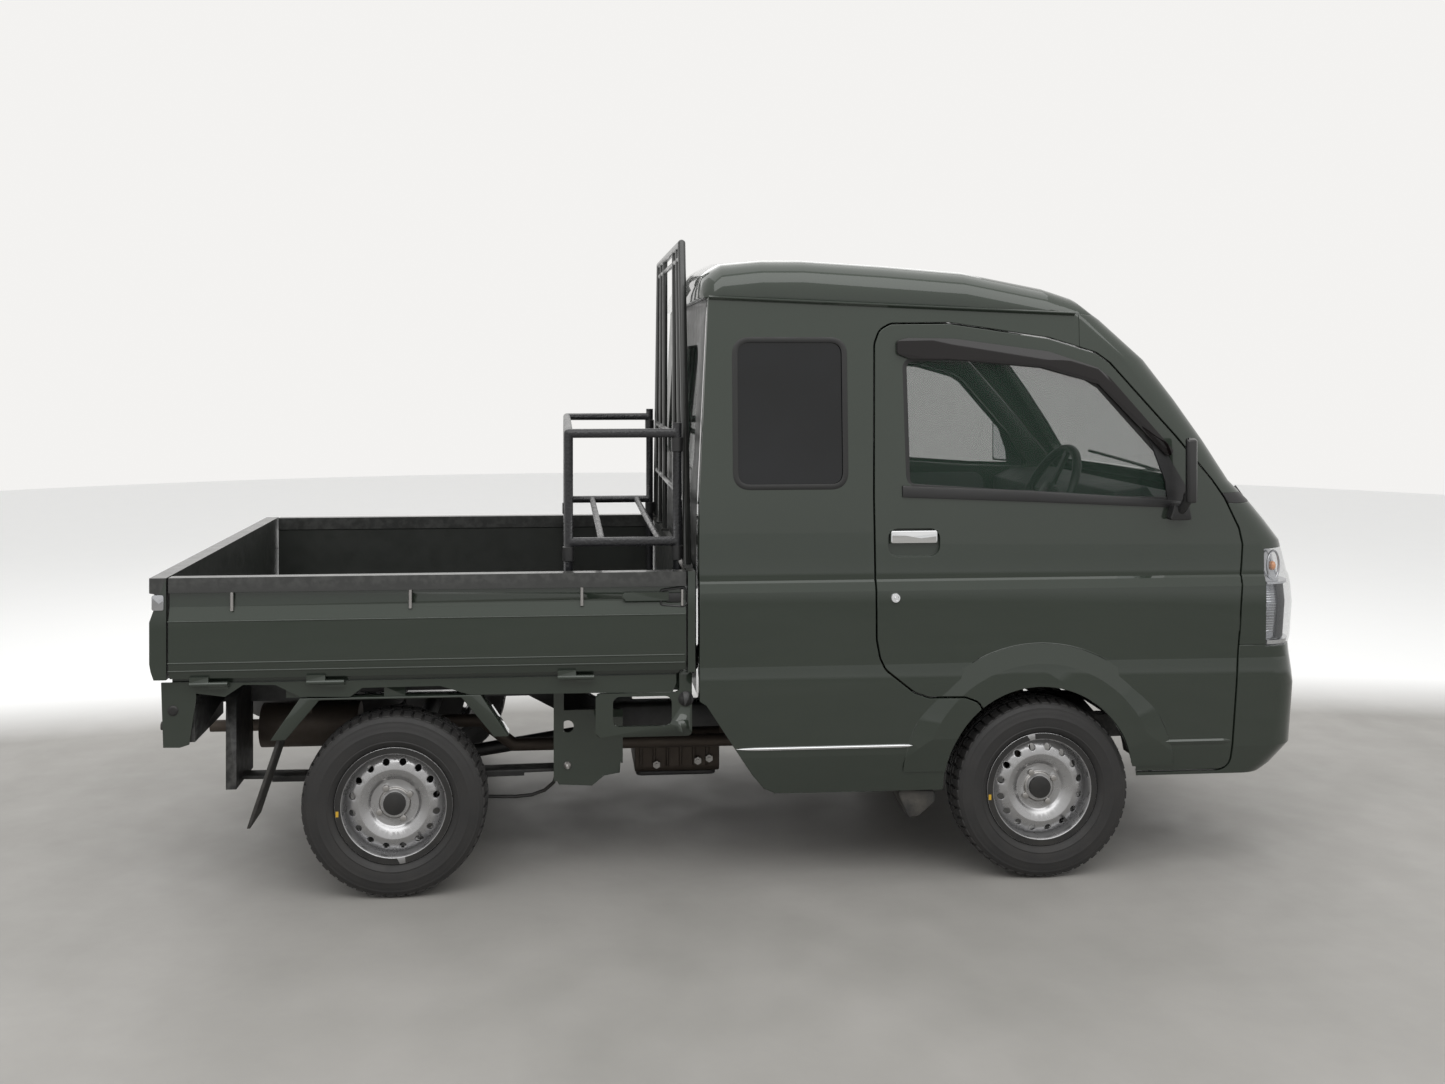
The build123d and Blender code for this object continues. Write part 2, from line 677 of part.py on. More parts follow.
def bed_front_board():
    """Front board of the bed with the posts that the side gates latch to."""
    x0 = GATE_FRONT_X + MOVE_GAP
    board = block(x0, x0 + 12, -690, 690, BED_FLOOR_Z, RAIL_TOP_Z - 20)
    cap = block(x0, BED_FRONT_X, -700, 700, RAIL_TOP_Z - RAIL_H, RAIL_TOP_Z)
    board = board + cap
    for side in (-1, 1):
        a, b = sorted((side * 664, side * HALF))
        board = board + block(x0, BED_FRONT_X, a, b, BED_FLOOR_Z, RAIL_TOP_Z)
    return board


# Guard behind the cab: tops, feet and the lower cross bars
GUARD_X = BED_FRONT_X - 14
GUARD_R = 12
GUARD_BAR_R = 9
GUARD_TOP_Z = 1905
GUARD_SECOND_Z = 1861
GUARD_POSTS = [(640, 455, GUARD_R), (430, 330, GUARD_BAR_R), (215, 200, GUARD_BAR_R)]
GUARD_CROSS_Z = (1300, 1120)
GUARD_FOOT = (28, 44, 7)


def guard_frame():
    """Pipe guard behind the cab, splayed towards the bed."""
    x = GUARD_X
    z0 = RAIL_TOP_Z + 5
    foot_y, top_y, r = GUARD_POSTS[0]
    bars = [rod((x, -top_y, GUARD_TOP_Z), (x, top_y, GUARD_TOP_Z), r)]
    bars += [rod((x, -top_y, GUARD_SECOND_Z), (x, top_y, GUARD_SECOND_Z), 8)]
    bars += [Pos(x, side * top_y, GUARD_TOP_Z) * Sphere(r) for side in (-1, 1)]
    for side in (-1, 1):
        for low_y, high_y, bar_r in GUARD_POSTS:
            bars.append(rod((x, side * low_y, z0), (x, side * high_y, GUARD_TOP_Z), bar_r))
            bars.append(Pos(x, side * low_y, RAIL_TOP_Z + GUARD_FOOT[2] / 2) * Box(*GUARD_FOOT))
    for z in GUARD_CROSS_Z:
        reach = foot_y - (foot_y - top_y) * (z - z0) / (GUARD_TOP_Z - z0)
        bars.append(rod((x, -reach, z), (x, reach, z), GUARD_BAR_R))
    return fuse(*bars)


# Rack in the bed: posts, rails and cross pipes
RACK_R = 13.5
RACK_Y = 615
RACK_REAR_X = -528
RACK_FRONT_X = BED_FRONT_X - 42
RACK_HIGH_Z = 1325
RACK_LOW_Z = 1003
RACK_CROSS_X = (-429, -257)
RACK_CROSS_R = 10.5
RACK_FOOT = (56, 56, 6)


def tube_rack():
    """Black pipe rack that stands in the front of the bed."""
    r = RACK_R
    x0, x1 = RACK_REAR_X, RACK_FRONT_X
    high, low = RACK_HIGH_Z, RACK_LOW_Z
    foot_z = BED_FLOOR_Z + RIB_H
    bars = []
    for side in (-1, 1):
        s = side * RACK_Y
        bars.append(rod((x0, s, foot_z), (x0, s, high), r))
        bars.append(rod((x1, s, foot_z), (x1, s, high + 30), r))
        bars.append(rod((x0, s, high), (x1, s, high), r))
        bars.append(rod((x0, s, low), (x1, s, low), r))
        bars.append(Pos(x0, s, high) * Sphere(r))
        for x in (x0, x1 - 8):
            bars.append(Pos(x, s, foot_z + RACK_FOOT[2] / 2) * Box(*RACK_FOOT))
    for x in RACK_CROSS_X:
        bars.append(rod((x, -RACK_Y, low), (x, RACK_Y, low), RACK_CROSS_R))
    bars.append(rod((x0, -RACK_Y, high), (x0, RACK_Y, high), r))
    return fuse(*bars)


# Plate tower that holds the front end of each rear spring
HANGER_T = 30
TOWER_Y = 596
TOWER_T = 6
TOWER = [
    (-565, 500), (-565, 295), (-556, 280), (-458, 274), (-422, 303), (-375, 311), (-366, 424), (-366, 500),
]
TOWER_HOLE = (-530, 452, 18)
TOWER_BOLT = (-531, 338, 11)


# Ladder frame: side view of a rail, cross members and cab mounts as (x, z)
FRAME_LINE = [
    (TAIL_X + 60, 500), (TAIL_X + 60, 580), (-620, 580), (-420, 470), (1110, 470), (1172, 400),
    (1560, 400), (1560, 330), (1160, 330), (1100, 392), (-450, 392), (-650, 500),
]
CROSS_W = 50
CROSS_MEMBERS = [(-1600, 540), (-1200, 540), (-660, 540), (-350, 445), (720, 430), (1170, 365), (1500, 365)]
CAB_MOUNTS = [(-20, 768), (760, 768)]
REAR_POST = (TAIL_X + 55, TAIL_X + 115, 460, 560)


def chassis_frame():
    """Ladder frame with kicked-up rear rails, cross members, cab mounts and spring towers."""
    frame = None
    for side in (-1, 1):
        a, b = sorted((side * (RAIL_Y - RAIL_W / 2), side * (RAIL_Y + RAIL_W / 2)))
        rail = prism_y(FRAME_LINE, a, b)
        frame = rail if frame is None else frame + rail
    for x, z in CROSS_MEMBERS:
        half = CROSS_W / 2
        frame = frame + block(x - half, x + half, -RAIL_Y, RAIL_Y, z - half, z + half)
    for side in (-1, 1):
        for x, z in CAB_MOUNTS:
            frame = frame + block(x - 30, x + 30, side * RAIL_Y - 24, side * RAIL_Y + 24, 440, z)
        a, b = sorted((side * RAIL_Y, side * 700))
        x0, x1, z0, z1 = REAR_POST
        frame = frame + block(x0, x1, a, b, z0, z1)
        a, b = sorted((side * RAIL_Y, side * TOWER_Y))
        for x in (SPRING_REAR_X - HANGER_T / 2 - SEAT_GAP, SPRING_FRONT_X + HANGER_T / 2 + SEAT_GAP):
            frame = frame + block(x - HANGER_T / 2, x + HANGER_T / 2, a, b, 290, 560)
        frame = frame + block(TOWER[-1][0] - TOWER_T, TOWER[-1][0], a, b, 340, 455)
        a, b = sorted((side * (TOWER_Y - TOWER_T), side * TOWER_Y))
        x, z, r = TOWER_HOLE
        frame = frame + (prism_y(TOWER, a, b) - disc_y(x, a, b, z, r))
        a, b = sorted((side * TOWER_Y, side * (TOWER_Y + TOWER_T)))
        x, z, r = TOWER_BOLT
        frame = frame + disc_y(x, a, b, z, r)
    return frame


def leaf_face(half_span, radius, y):
    """Side view of one curved spring leaf under the spring's centre of curvature."""
    centre_z = LEAF_TOP_Z + LEAF_R
    mid_x = (SPRING_REAR_X + SPRING_FRONT_X) / 2
    arcs = []
    for r in (radius, radius + LEAF_T + 0.5):
        rise = math.sqrt(r * r - half_span * half_span)
        arcs.append([(mid_x - half_span, y, centre_z - rise), (mid_x, y, centre_z - r),
                     (mid_x + half_span, y, centre_z - rise)])
    top = ThreePointArc(*arcs[0])
    low = ThreePointArc(*reversed(arcs[1]))
    ends = [Line(arcs[0][2], arcs[1][2]), Line(arcs[1][0], arcs[0][0])]
    edges = [e for p in (top, ends[0], low, ends[1]) for e in p.edges()]
    return make_face(Wire(edges))


SHAFT_Y = -60
CASE_REAR_X = -320


def rear_axle():
    """Live rear axle on leaf springs, with the propeller shaft."""
    tube_end = TRACK_REAR / 2 - 88
    axle = disc_y(REAR_AXLE_X, -tube_end, tube_end, TYRE_R, 30)
    axle = axle + Pos(REAR_AXLE_X, SHAFT_Y, TYRE_R) * Sphere(105)
    for side in (-1, 1):
        a, b = sorted((side * (tube_end - 8), side * (tube_end + 36)))
        axle = axle + disc_y(REAR_AXLE_X, a, b, TYRE_R, 112)
        spindle = side * (TRACK_REAR / 2 + SPINDLE_OUT)
        axle = axle + disc_y(REAR_AXLE_X, side * tube_end, spindle, TYRE_R, SPINDLE_R)
        y0, y1 = sorted((side * (SPRING_Y - SPRING_W / 2), side * (SPRING_Y + SPRING_W / 2)))
        for i, half_span in enumerate(LEAF_SPANS):
            leaf = leaf_face(half_span, LEAF_R + i * LEAF_T, y0)
            axle = axle + extrude(leaf, amount=SPRING_W, dir=(0, 1, 0))
    return axle + rod((REAR_AXLE_X + 60, SHAFT_Y, 212), (CASE_REAR_X - 12, SHAFT_Y, 306), 22)


def front_suspension():
    """Cross member and lower arms that carry the front hubs."""
    body = block(FRONT_AXLE_X - 60, FRONT_AXLE_X + 60, -RAIL_Y + 26, RAIL_Y - 26, 250, 392)
    for side in (-1, 1):
        low, high = kingpin(side)
        boss = rod(point_on(low, high, -0.1), point_on(low, high, -0.0012), 20)
        arm = rod((FRONT_AXLE_X, side * 345, 266), point_on(low, high, -0.085), 13)
        body = body + boss + arm
    return body


def kingpin(side):
    """Lower and upper points of one steering axis."""
    return (FRONT_AXLE_X, side * 607, 190), (FRONT_AXLE_X - 18, side * 505, 590)


def point_on(p, q, t):
    """Point at share t of the way from p to q."""
    return tuple(a + (b - a) * t for a, b in zip(p, q))


def knuckle_right():
    """Right hub carrier with its strut tube, steering arm and spindle."""
    low, high = kingpin(-1)
    strut = rod(point_on(low, high, 0.30), point_on(low, high, 0.9988), 22)
    lower = rod(low, point_on(low, high, 0.34), 20)
    face = -(TRACK_FRONT / 2 - 44)
    hub = disc_y(FRONT_AXLE_X, face, -570, TYRE_R, 42)
    spindle = disc_y(FRONT_AXLE_X, -(TRACK_FRONT / 2 + SPINDLE_OUT), face, TYRE_R, SPINDLE_R)
    arm = rod((FRONT_AXLE_X, -600, 225), (FRONT_AXLE_X - 120, -560, 235), 12)
    return fuse(strut, lower, hub, spindle, arm)


def tyre_form():
    """Tyre with rounded shoulders at the origin, bored for its rim."""
    w = TYRE_W / 2
    t = TREAD_W / 2
    points = [
        (RIM_FLANGE_R + 1, w - 16), (RIM_FLANGE_R + 14, w - 4), (212, w), (238, w - 3),
        (257, t + 3), (TYRE_R - 1.5, t - 8), (TYRE_R, 0),
    ]
    inner = [(TYRE_SEAT_R, 0), (TYRE_SEAT_R, RIM_W / 2 - 7.6), (RIM_FLANGE_R + 1, RIM_W / 2 - 5.6)]
    half = inner + points
    loop = half + [(r, -y) for r, y in reversed(half[1:-1])]
    face = make_face(Polyline(*[(r, y) for r, y in loop], close=True))
    return revolve(face, Axis.Y)


def tyre(x, side, track):
    """Tyre at its wheel centre."""
    return Pos(x, side * track / 2, TYRE_R) * tyre_form()


def rim_profile():
    """Half section of the wheel as (radius, outward distance)."""
    h = RIM_W / 2
    s = RIM_SKIN
    return [
        (RIM_FLANGE_R, h), (RIM_FLANGE_R, h - s), (TYRE_SEAT_R - 1, h - s - 2), (TYRE_SEAT_R - 3, 12),
        (140, 4), (140, -22), (TYRE_SEAT_R - 3, -30), (TYRE_SEAT_R - 1, -h + s + 2), (RIM_FLANGE_R, -h + s),
        (RIM_FLANGE_R, -h), (TYRE_SEAT_R - 6, -h), (TYRE_SEAT_R - 9, -34), (134, -26), (134, 20),
        (118, 34), (100, 38), (82, 30), (72, 20), (40, 20), (38, 26), (HUB_HOLE_R, 26), (HUB_HOLE_R, 33),
        (42, 33), (46, 27), (68, 27), (78, 37), (100, 46), (121, 41), (138, 28), (142, 22),
        (TYRE_SEAT_R - 8, h - 6), (TYRE_SEAT_R - 5, h),
    ]


def rim_form():
    """Pressed steel wheel at the origin with its ring of vent holes, nuts and cap."""
    face = make_face(Polyline(*rim_profile(), close=True))
    wheel = revolve(face, Axis.Y)
    for i in range(VENT_COUNT):
        a = 360 / VENT_COUNT * (i + 0.5)
        hole = Rot(0, a, 0) * Pos(VENT_RING_R, 34, 0) * Rot(90, 0, 0) * Cylinder(VENT_R, 60)
        wheel = wheel - hole
    for i in range(NUT_COUNT):
        a = 360 / NUT_COUNT * i + 30
        nut = Rot(0, a, 0) * Pos(NUT_RING_R, 30, 0) * Rot(90, 0, 0) * Cylinder(NUT_R, 18)
        wheel = wheel + nut
    cap = Pos(0, 38, 0) * Rot(90, 0, 0) * Cylinder(HUB_HOLE_R + 2, 12)
    return wheel + cap


def rim(x, side, track):
    """Steel wheel at its wheel centre, dish outwards."""
    turn = 180 if side < 0 else 0
    return Pos(x, side * track / 2, TYRE_R) * Rot(0, 0, turn) * rim_form()


# Engine as (x0, x1, y0, y1, z0, z1) and its mount bar
ENGINE = (230, 640, -190, 190, 330, 610)
ENGINE_BAR = (400, 460, 400, 440)


def engine_block():
    """Engine under the seats, one plain block."""
    body = block(*ENGINE)
    body = fillet(body.edges().filter_by(Axis.X), 30)
    inner_rail = RAIL_Y - RAIL_W / 2
    x0, x1, z0, z1 = ENGINE_BAR
    return body + block(x0, x1, -inner_rail, inner_rail, z0, z1)


# Gearbox casting and its pan as (x0, x1, y0, y1, z0, z1)
CASE = (-305, -24, -165, 110, 172, 320)
PAN = (-300, -34, -145, 90, 158, 172)
CASE_RIBS = range(-290, -30, 44)


def gearbox():
    """Ribbed gearbox casting with its pan behind the engine."""
    bell = rod((ENGINE[0], 0, 420), (120, 0, 420), 98)
    tail = rod((130, 0, 400), (-60, SHAFT_Y / 2, 300), 84)
    nose = rod((-200, SHAFT_Y, 300), (CASE_REAR_X, SHAFT_Y, 306), 52)
    case = block(*CASE)
    case = fillet(case.edges().filter_by(Axis.X), 26)
    ribs = [block(x, x + 8, CASE[2] - 7, CASE[3] - 40, 196, 300) for x in CASE_RIBS]
    pan = fillet(block(*PAN).edges().filter_by(Axis.Z), 20)
    return fuse(bell, tail, nose, case, *ribs, pan)


# Exhaust pipe run as (x, z) points, its silencer and tip
EXHAUST_Y = -310
PIPE_R = 20
PIPE_RUN = [(260, 320), (-700, 320), (-800, 400), (-1180, 400)]
DRUM_REAR_X = -1480
DRUM_R = 68
TIP = (-1640, 18)


def exhaust():
    """Exhaust pipe and silencer along the right side."""
    y = EXHAUST_Y
    run = [(x, y, z) for x, z in PIPE_RUN]
    pieces = [rod(p, q, PIPE_R) for p, q in zip(run, run[1:])]
    pieces += [Pos(*p) * Sphere(PIPE_R) for p in run[1:-1]]
    front_x, z = PIPE_RUN[-1]
    pieces.append(rod((front_x, y, z), (DRUM_REAR_X, y, z), DRUM_R))
    pieces.append(rod((DRUM_REAR_X, y, z), (TIP[0], y, z), TIP[1]))
    pieces.append(block(-1340, -1320, -(RAIL_Y - RAIL_W / 2), y + 20, 440, 520))
    return fuse(*pieces)


TANK = (-362, -168, RAIL_Y + RAIL_W / 2, 690, 326, 534)


def fuel_tank():
    """Fuel tank on the left side of the frame."""
    tank = block(*TANK)
    return fillet(tank.edges(), 25)


# Panel under the front of the bed: outline with its arm up to the post, opening and round caps
SKIRT_Y = 712
SKIRT_T = 10
SKIRT_ROUND = 14
SKIRT_ARM_Z = BED_FLOOR_Z - SEAT_GAP
SKIRT = [(-450, 576), (-207, 576), (-207, SKIRT_ARM_Z), (-170, SKIRT_ARM_Z), (-170, 449), (-450, 449)]
SKIRT_OPENING = (-400, -229, 479, 566)
SKIRT_CAPS = [(-188, 557, 22), (-200, 477, 19)]


def side_skirt(side):
    """Pressed panel under the front of the bed."""
    a, b = sorted((side * (SKIRT_Y - SKIRT_T), side * SKIRT_Y))
    panel = side_cut(SKIRT, 0, a, b, SKIRT_ROUND) - rounded_cut(*SKIRT_OPENING, 20, 0, a, b)
    a, b = sorted((side * (SKIRT_Y - SKIRT_T), side * (SKIRT_Y + 2)))
    for x, z, r in SKIRT_CAPS:
        panel = panel + disc_y(x, a, b, z, r)
    return panel


STAY_Y = (640, 712)
STAY_REAR = [(-1290, 580), (-1230, 580), (-1330, 462), (-1372, 462)]
STAY_FRONT = [(-840, 580), (-780, 580), (-700, 459), (-742, 459)]
STAY_T = 6
FLAP_Y = (560, 700)
FLAP = [(-1346, 462), (-1356, 462), (-1440, 210), (-1430, 210)]
TAIL_LAMP_Y = (420, 640)
TAIL_LAMP = (TAIL_X + 40, TAIL_X + 55, 470, 550)


def rear_stay(side):
    """Mudguard stays beside one rear wheel."""
    a, b = sorted((side * STAY_Y[0], side * STAY_Y[1]))
    top = STAY_REAR[0][1]
    link = block(STAY_REAR[0][0], STAY_FRONT[1][0], a, b, top - STAY_T, top)
    return prism_y(STAY_REAR, a, b) + prism_y(STAY_FRONT, a, b) + link


def mud_flap(side):
    """Rubber flap behind one rear wheel."""
    a, b = sorted((side * FLAP_Y[0], side * FLAP_Y[1]))
    return prism_y(FLAP, a, b)


def tail_lamp(side):
    """Round-cornered lamp box under the bed's rear end."""
    a, b = sorted((side * TAIL_LAMP_Y[0], side * TAIL_LAMP_Y[1]))
    x0, x1, z0, z1 = TAIL_LAMP
    lamp = block(x0, x1, a, b, z0, z1)
    return fillet(lamp.edges().filter_by(Axis.X), 12)


SPARE = (-1345, 50, 440)


def spare_wheel():
    """Spare wheel laid flat under the bed, hung on its bar."""
    wheel = rim_form() + tyre_form()
    x, y, z = SPARE
    bar = block(-1612, -1178, y - 20, y + 20, 505, 515)
    hanger = Pos(x, y, z + 35) * Cylinder(24, 60)
    return Pos(*SPARE) * Rot(90, 0, 0) * wheel + bar + hanger


WHEEL_HUB = (1042, -370, 1093)
WHEEL_TILT = 64
WHEEL_RIM_R = 183
WHEEL_RISE = 24
WHEEL_HUB_T = 34


def along_column(distance):
    """Point on the steering column's axis, distance from the hub point towards the driver."""
    a = math.radians(WHEEL_TILT)
    x, y, z = WHEEL_HUB
    return (x - math.sin(a) * distance, y, z + math.cos(a) * distance)


# Dashboard and gauge hood in side view
DASH_LINE = [
    (1180, 900), (1190, 1080), (1260, 1110), (1420, 1118), (1500, 1080), (1540, 900), (1560, 740),
    (1500, 700), (1300, 760),
]
DASH_SPLIT_X = 1498
HOOD_LINE = [(1170, 1060), (1180, 1130), (1290, 1146), (1320, 1100)]
HOOD_Y = (-520, -220)
COLUMN_R = 34
COLUMN_BACK = 165


def dashboard():
    """Dashboard with the hood of the gauges and the steering column."""
    form = prism_y(DASH_LINE, -800, 800)
    board = CLEARED & form & block(1000, DASH_SPLIT_X, -800, 800, 600, 1200)
    board = board + (LINED & form & block(DASH_SPLIT_X, 1700, -800, 800, 600, 1200))
    hood = prism_y(HOOD_LINE, *HOOD_Y)
    end = along_column(WHEEL_RISE - WHEEL_HUB_T / 2 - SEAT_GAP)
    return board + hood + rod(along_column(-COLUMN_BACK), end, COLUMN_R)


# Seats: sides, cushion, leaning back and head rest in side view
SEAT_Y = (120, 560)
CUSHION = (330, 840, 790 + SEAT_GAP, 930)
BACK_LINE = [(330, 900), (460, 930), (380, 1320), (290, 1320)]
HEAD_LINE = [(296, 1330), (386, 1330), (372, 1500), (290, 1500)]
HEAD_W = 240
NECK = (320, 345, 1310, 1340)
SEAT_ROUND = 20


def seat(side):
    """Bench-like bucket seat: cushion and leaning back."""
    y0, y1 = sorted((side * SEAT_Y[0], side * SEAT_Y[1]))
    mid = (y0 + y1) / 2
    x0, x1, z0, z1 = CUSHION
    body = block(x0, x1, y0, y1, z0, z1) + prism_y(BACK_LINE, y0, y1)
    head = prism_y(HEAD_LINE, mid - HEAD_W / 2, mid + HEAD_W / 2)
    x0, x1, z0, z1 = NECK
    neck = block(x0, x1, mid - HEAD_W / 4, mid + HEAD_W / 4, z0, z1)
    return fillet(body.edges().filter_by(Axis.Y), SEAT_ROUND) + neck + head


def steering_wheel():
    """Three-spoke steering wheel."""
    rim_ring = Torus(WHEEL_RIM_R - 14, 14)
    hub = Cylinder(46, WHEEL_HUB_T)
    spokes = [Rot(0, 0, a) * Pos((WHEEL_RIM_R - 14) / 2, 0, 0) * Box(WHEEL_RIM_R - 20, 30, 12)
              for a in (0, 180, 270)]
    wheel = fuse(rim_ring, hub, *spokes)
    return Pos(*WHEEL_HUB) * Rot(0, -WHEEL_TILT, 0) * Pos(0, 0, WHEEL_RISE) * wheel


def nodes():
    """Every named piece of the truck."""
    door = door_right()
    glass = door_glass_right()
    visor = door_visor_right()
    mirror_r = door_mirror_right()
    quarter = quarter_right()
    knuckle = knuckle_right()
    gate = side_gate_right()
    parts = {
        "chassis_frame": chassis_frame(),
        "bed_floor": bed_floor(),
        "bed_front_board": bed_front_board(),
        "side_gate_right": gate,
        "side_gate_left": mirrored(gate),
        "tailgate": tailgate(),
        "guard_frame": guard_frame(),
        "tube_rack": tube_rack(),
        "cab_floor": cab_floor(),
        "cab_rear_panel": cab_rear_panel(),
        "cab_side_right": quarter,
        "cab_side_left": mirrored(quarter),
        "roof_panel": roof_panel(),
        "windscreen_frame": windscreen_frame(),
        "cowl": cowl(),
        "front_panel": front_panel(),
        "front_bumper": front_bumper(),
        "front_grille": Compound(children=[*slats(GRILLE_HOLE, 2, 20).solids(),
                                           *slats(INTAKE_HOLE, 4, 20).solids()]),
        "headlamps": Compound(children=[*headlamp(-1).solids(), *headlamp(1).solids()]),
        "windscreen": windscreen(),
        "rear_window": rear_window(),
        "quarter_glass": Compound(children=[*quarter_glass(-1).solids(), *quarter_glass(1).solids()]),
        "door_right": door,
        "door_left": mirrored(door),
        "door_glass_right": glass,
        "door_glass_left": mirrored(glass),
        "door_visor_right": visor,
        "door_visor_left": mirrored(visor),
        "door_mirror_right": mirror_r,
        "door_mirror_left": mirrored(mirror_r),
        "dashboard": dashboard(),
        "seat_right": seat(-1),
        "seat_left": seat(1),
        "steering_wheel": steering_wheel(),
        "front_suspension": front_suspension(),
        "knuckle_right": knuckle,
        "knuckle_left": mirrored(knuckle),
        "rear_axle": rear_axle(),
        "engine_block": engine_block(),
        "gearbox": gearbox(),
        "exhaust": exhaust(),
        "fuel_tank": fuel_tank(),
        "side_skirts": Compound(children=[*side_skirt(-1).solids(), *side_skirt(1).solids()]),
        "rear_stays": Compound(children=[*rear_stay(-1).solids(), *rear_stay(1).solids()]),
        "mud_flaps": Compound(children=[*mud_flap(-1).solids(), *mud_flap(1).solids()]),
        "tail_lamps": Compound(children=[*tail_lamp(-1).solids(), *tail_lamp(1).solids()]),
        "spare_wheel": spare_wheel(),
    }
    for end, x, track in (("rear", REAR_AXLE_X, TRACK_REAR), ("front", FRONT_AXLE_X, TRACK_FRONT)):
        for name, side in (("right", -1), ("left", 1)):
            parts[f"tyre_{end}_{name}"] = tyre(x, side, track)
            parts[f"rim_{end}_{name}"] = rim(x, side, track)
    return parts


os.makedirs("parts", exist_ok=True)
for name, shape in nodes().items():
    export_step(one(shape), f"parts/{name}.step")
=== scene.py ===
"""Looks of a kei truck: extended high-roof cab, drop-side bed, pipe guard and pipe rack.

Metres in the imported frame: +X forward, +Y to the truck's left, +Z up, origin on the ground.
Shapes are written for the right side, which is -Y, and mirrored for the left side.
"""

import json
import logging
import math
from dataclasses import dataclass
from enum import Enum
from typing import Callable, Sequence

import bmesh
import bpy
import numpy as np
from mathutils import Matrix, Vector

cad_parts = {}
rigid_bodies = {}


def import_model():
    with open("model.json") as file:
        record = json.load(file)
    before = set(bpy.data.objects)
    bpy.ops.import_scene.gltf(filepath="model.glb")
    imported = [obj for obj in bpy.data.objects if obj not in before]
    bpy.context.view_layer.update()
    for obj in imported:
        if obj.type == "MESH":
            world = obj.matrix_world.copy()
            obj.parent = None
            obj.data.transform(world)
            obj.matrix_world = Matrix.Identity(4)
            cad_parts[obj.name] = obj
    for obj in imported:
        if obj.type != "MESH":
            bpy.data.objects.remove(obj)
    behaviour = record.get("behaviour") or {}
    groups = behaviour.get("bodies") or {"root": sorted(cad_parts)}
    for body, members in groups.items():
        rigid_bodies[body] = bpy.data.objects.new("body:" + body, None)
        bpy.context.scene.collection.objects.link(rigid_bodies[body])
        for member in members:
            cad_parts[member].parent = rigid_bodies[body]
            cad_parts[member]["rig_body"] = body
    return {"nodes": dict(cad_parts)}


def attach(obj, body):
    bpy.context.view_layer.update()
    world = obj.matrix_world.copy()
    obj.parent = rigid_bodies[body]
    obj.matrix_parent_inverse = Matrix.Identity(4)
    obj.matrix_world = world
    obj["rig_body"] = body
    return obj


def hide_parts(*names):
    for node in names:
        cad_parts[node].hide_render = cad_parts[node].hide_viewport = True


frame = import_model()

logging.basicConfig(level=logging.INFO, format="%(message)s")
log = logging.getLogger("kei_truck")

Point = Sequence[float]
Outline = Sequence[Sequence[float]]

MM = 0.001
MERGE = 0.00001
FRONT_AXLE_X, REAR_AXLE_X = 0.8775, -1.0275
FRONT_TRACK_HALF, REAR_TRACK_HALF = 0.6525, 0.645
TYRE_RADIUS = 0.265
ARCH_FLARE = (0.350, 0.420)
# cosines between normals: on the cab's skin, plain side, close enough to the skin to join its shading
ON_OUTER, PLAIN_SIDE, NEAR_OUTER = 0.97, 0.9993, 0.75
RIGHT, LEFT = -1, 1
SIDE_NAMES = {RIGHT: "right", LEFT: "left"}


class Turn(Enum):
    """Axis of a prism, a lathe or an array, as the axis vector."""

    X = (1.0, 0.0, 0.0)
    Y = (0.0, 1.0, 0.0)
    Z = (0.0, 0.0, 1.0)


class Slot(Enum):
    """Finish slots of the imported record."""

    PAINT = "body_paint"
    RAIL = "rail_paint"
    CHASSIS = "chassis_black"
    STEEL = "bare_steel"
    CAST = "cast_metal"
    WHEEL = "wheel_silver"
    TYRE = "tyre"
    PLASTIC = "black_plastic"
    SMOKE = "smoke_plastic"
    LAMP = "lamp_clear"
    LAMP_RED = "lamp_red"
    GLASS = "glass_clear"
    DARK_GLASS = "glass_dark"
    INTERIOR = "interior_grey"
    FABRIC = "seat_fabric"
    RUBBER = "mud_rubber"
    TAPE = "tape_black"


# Shader groups

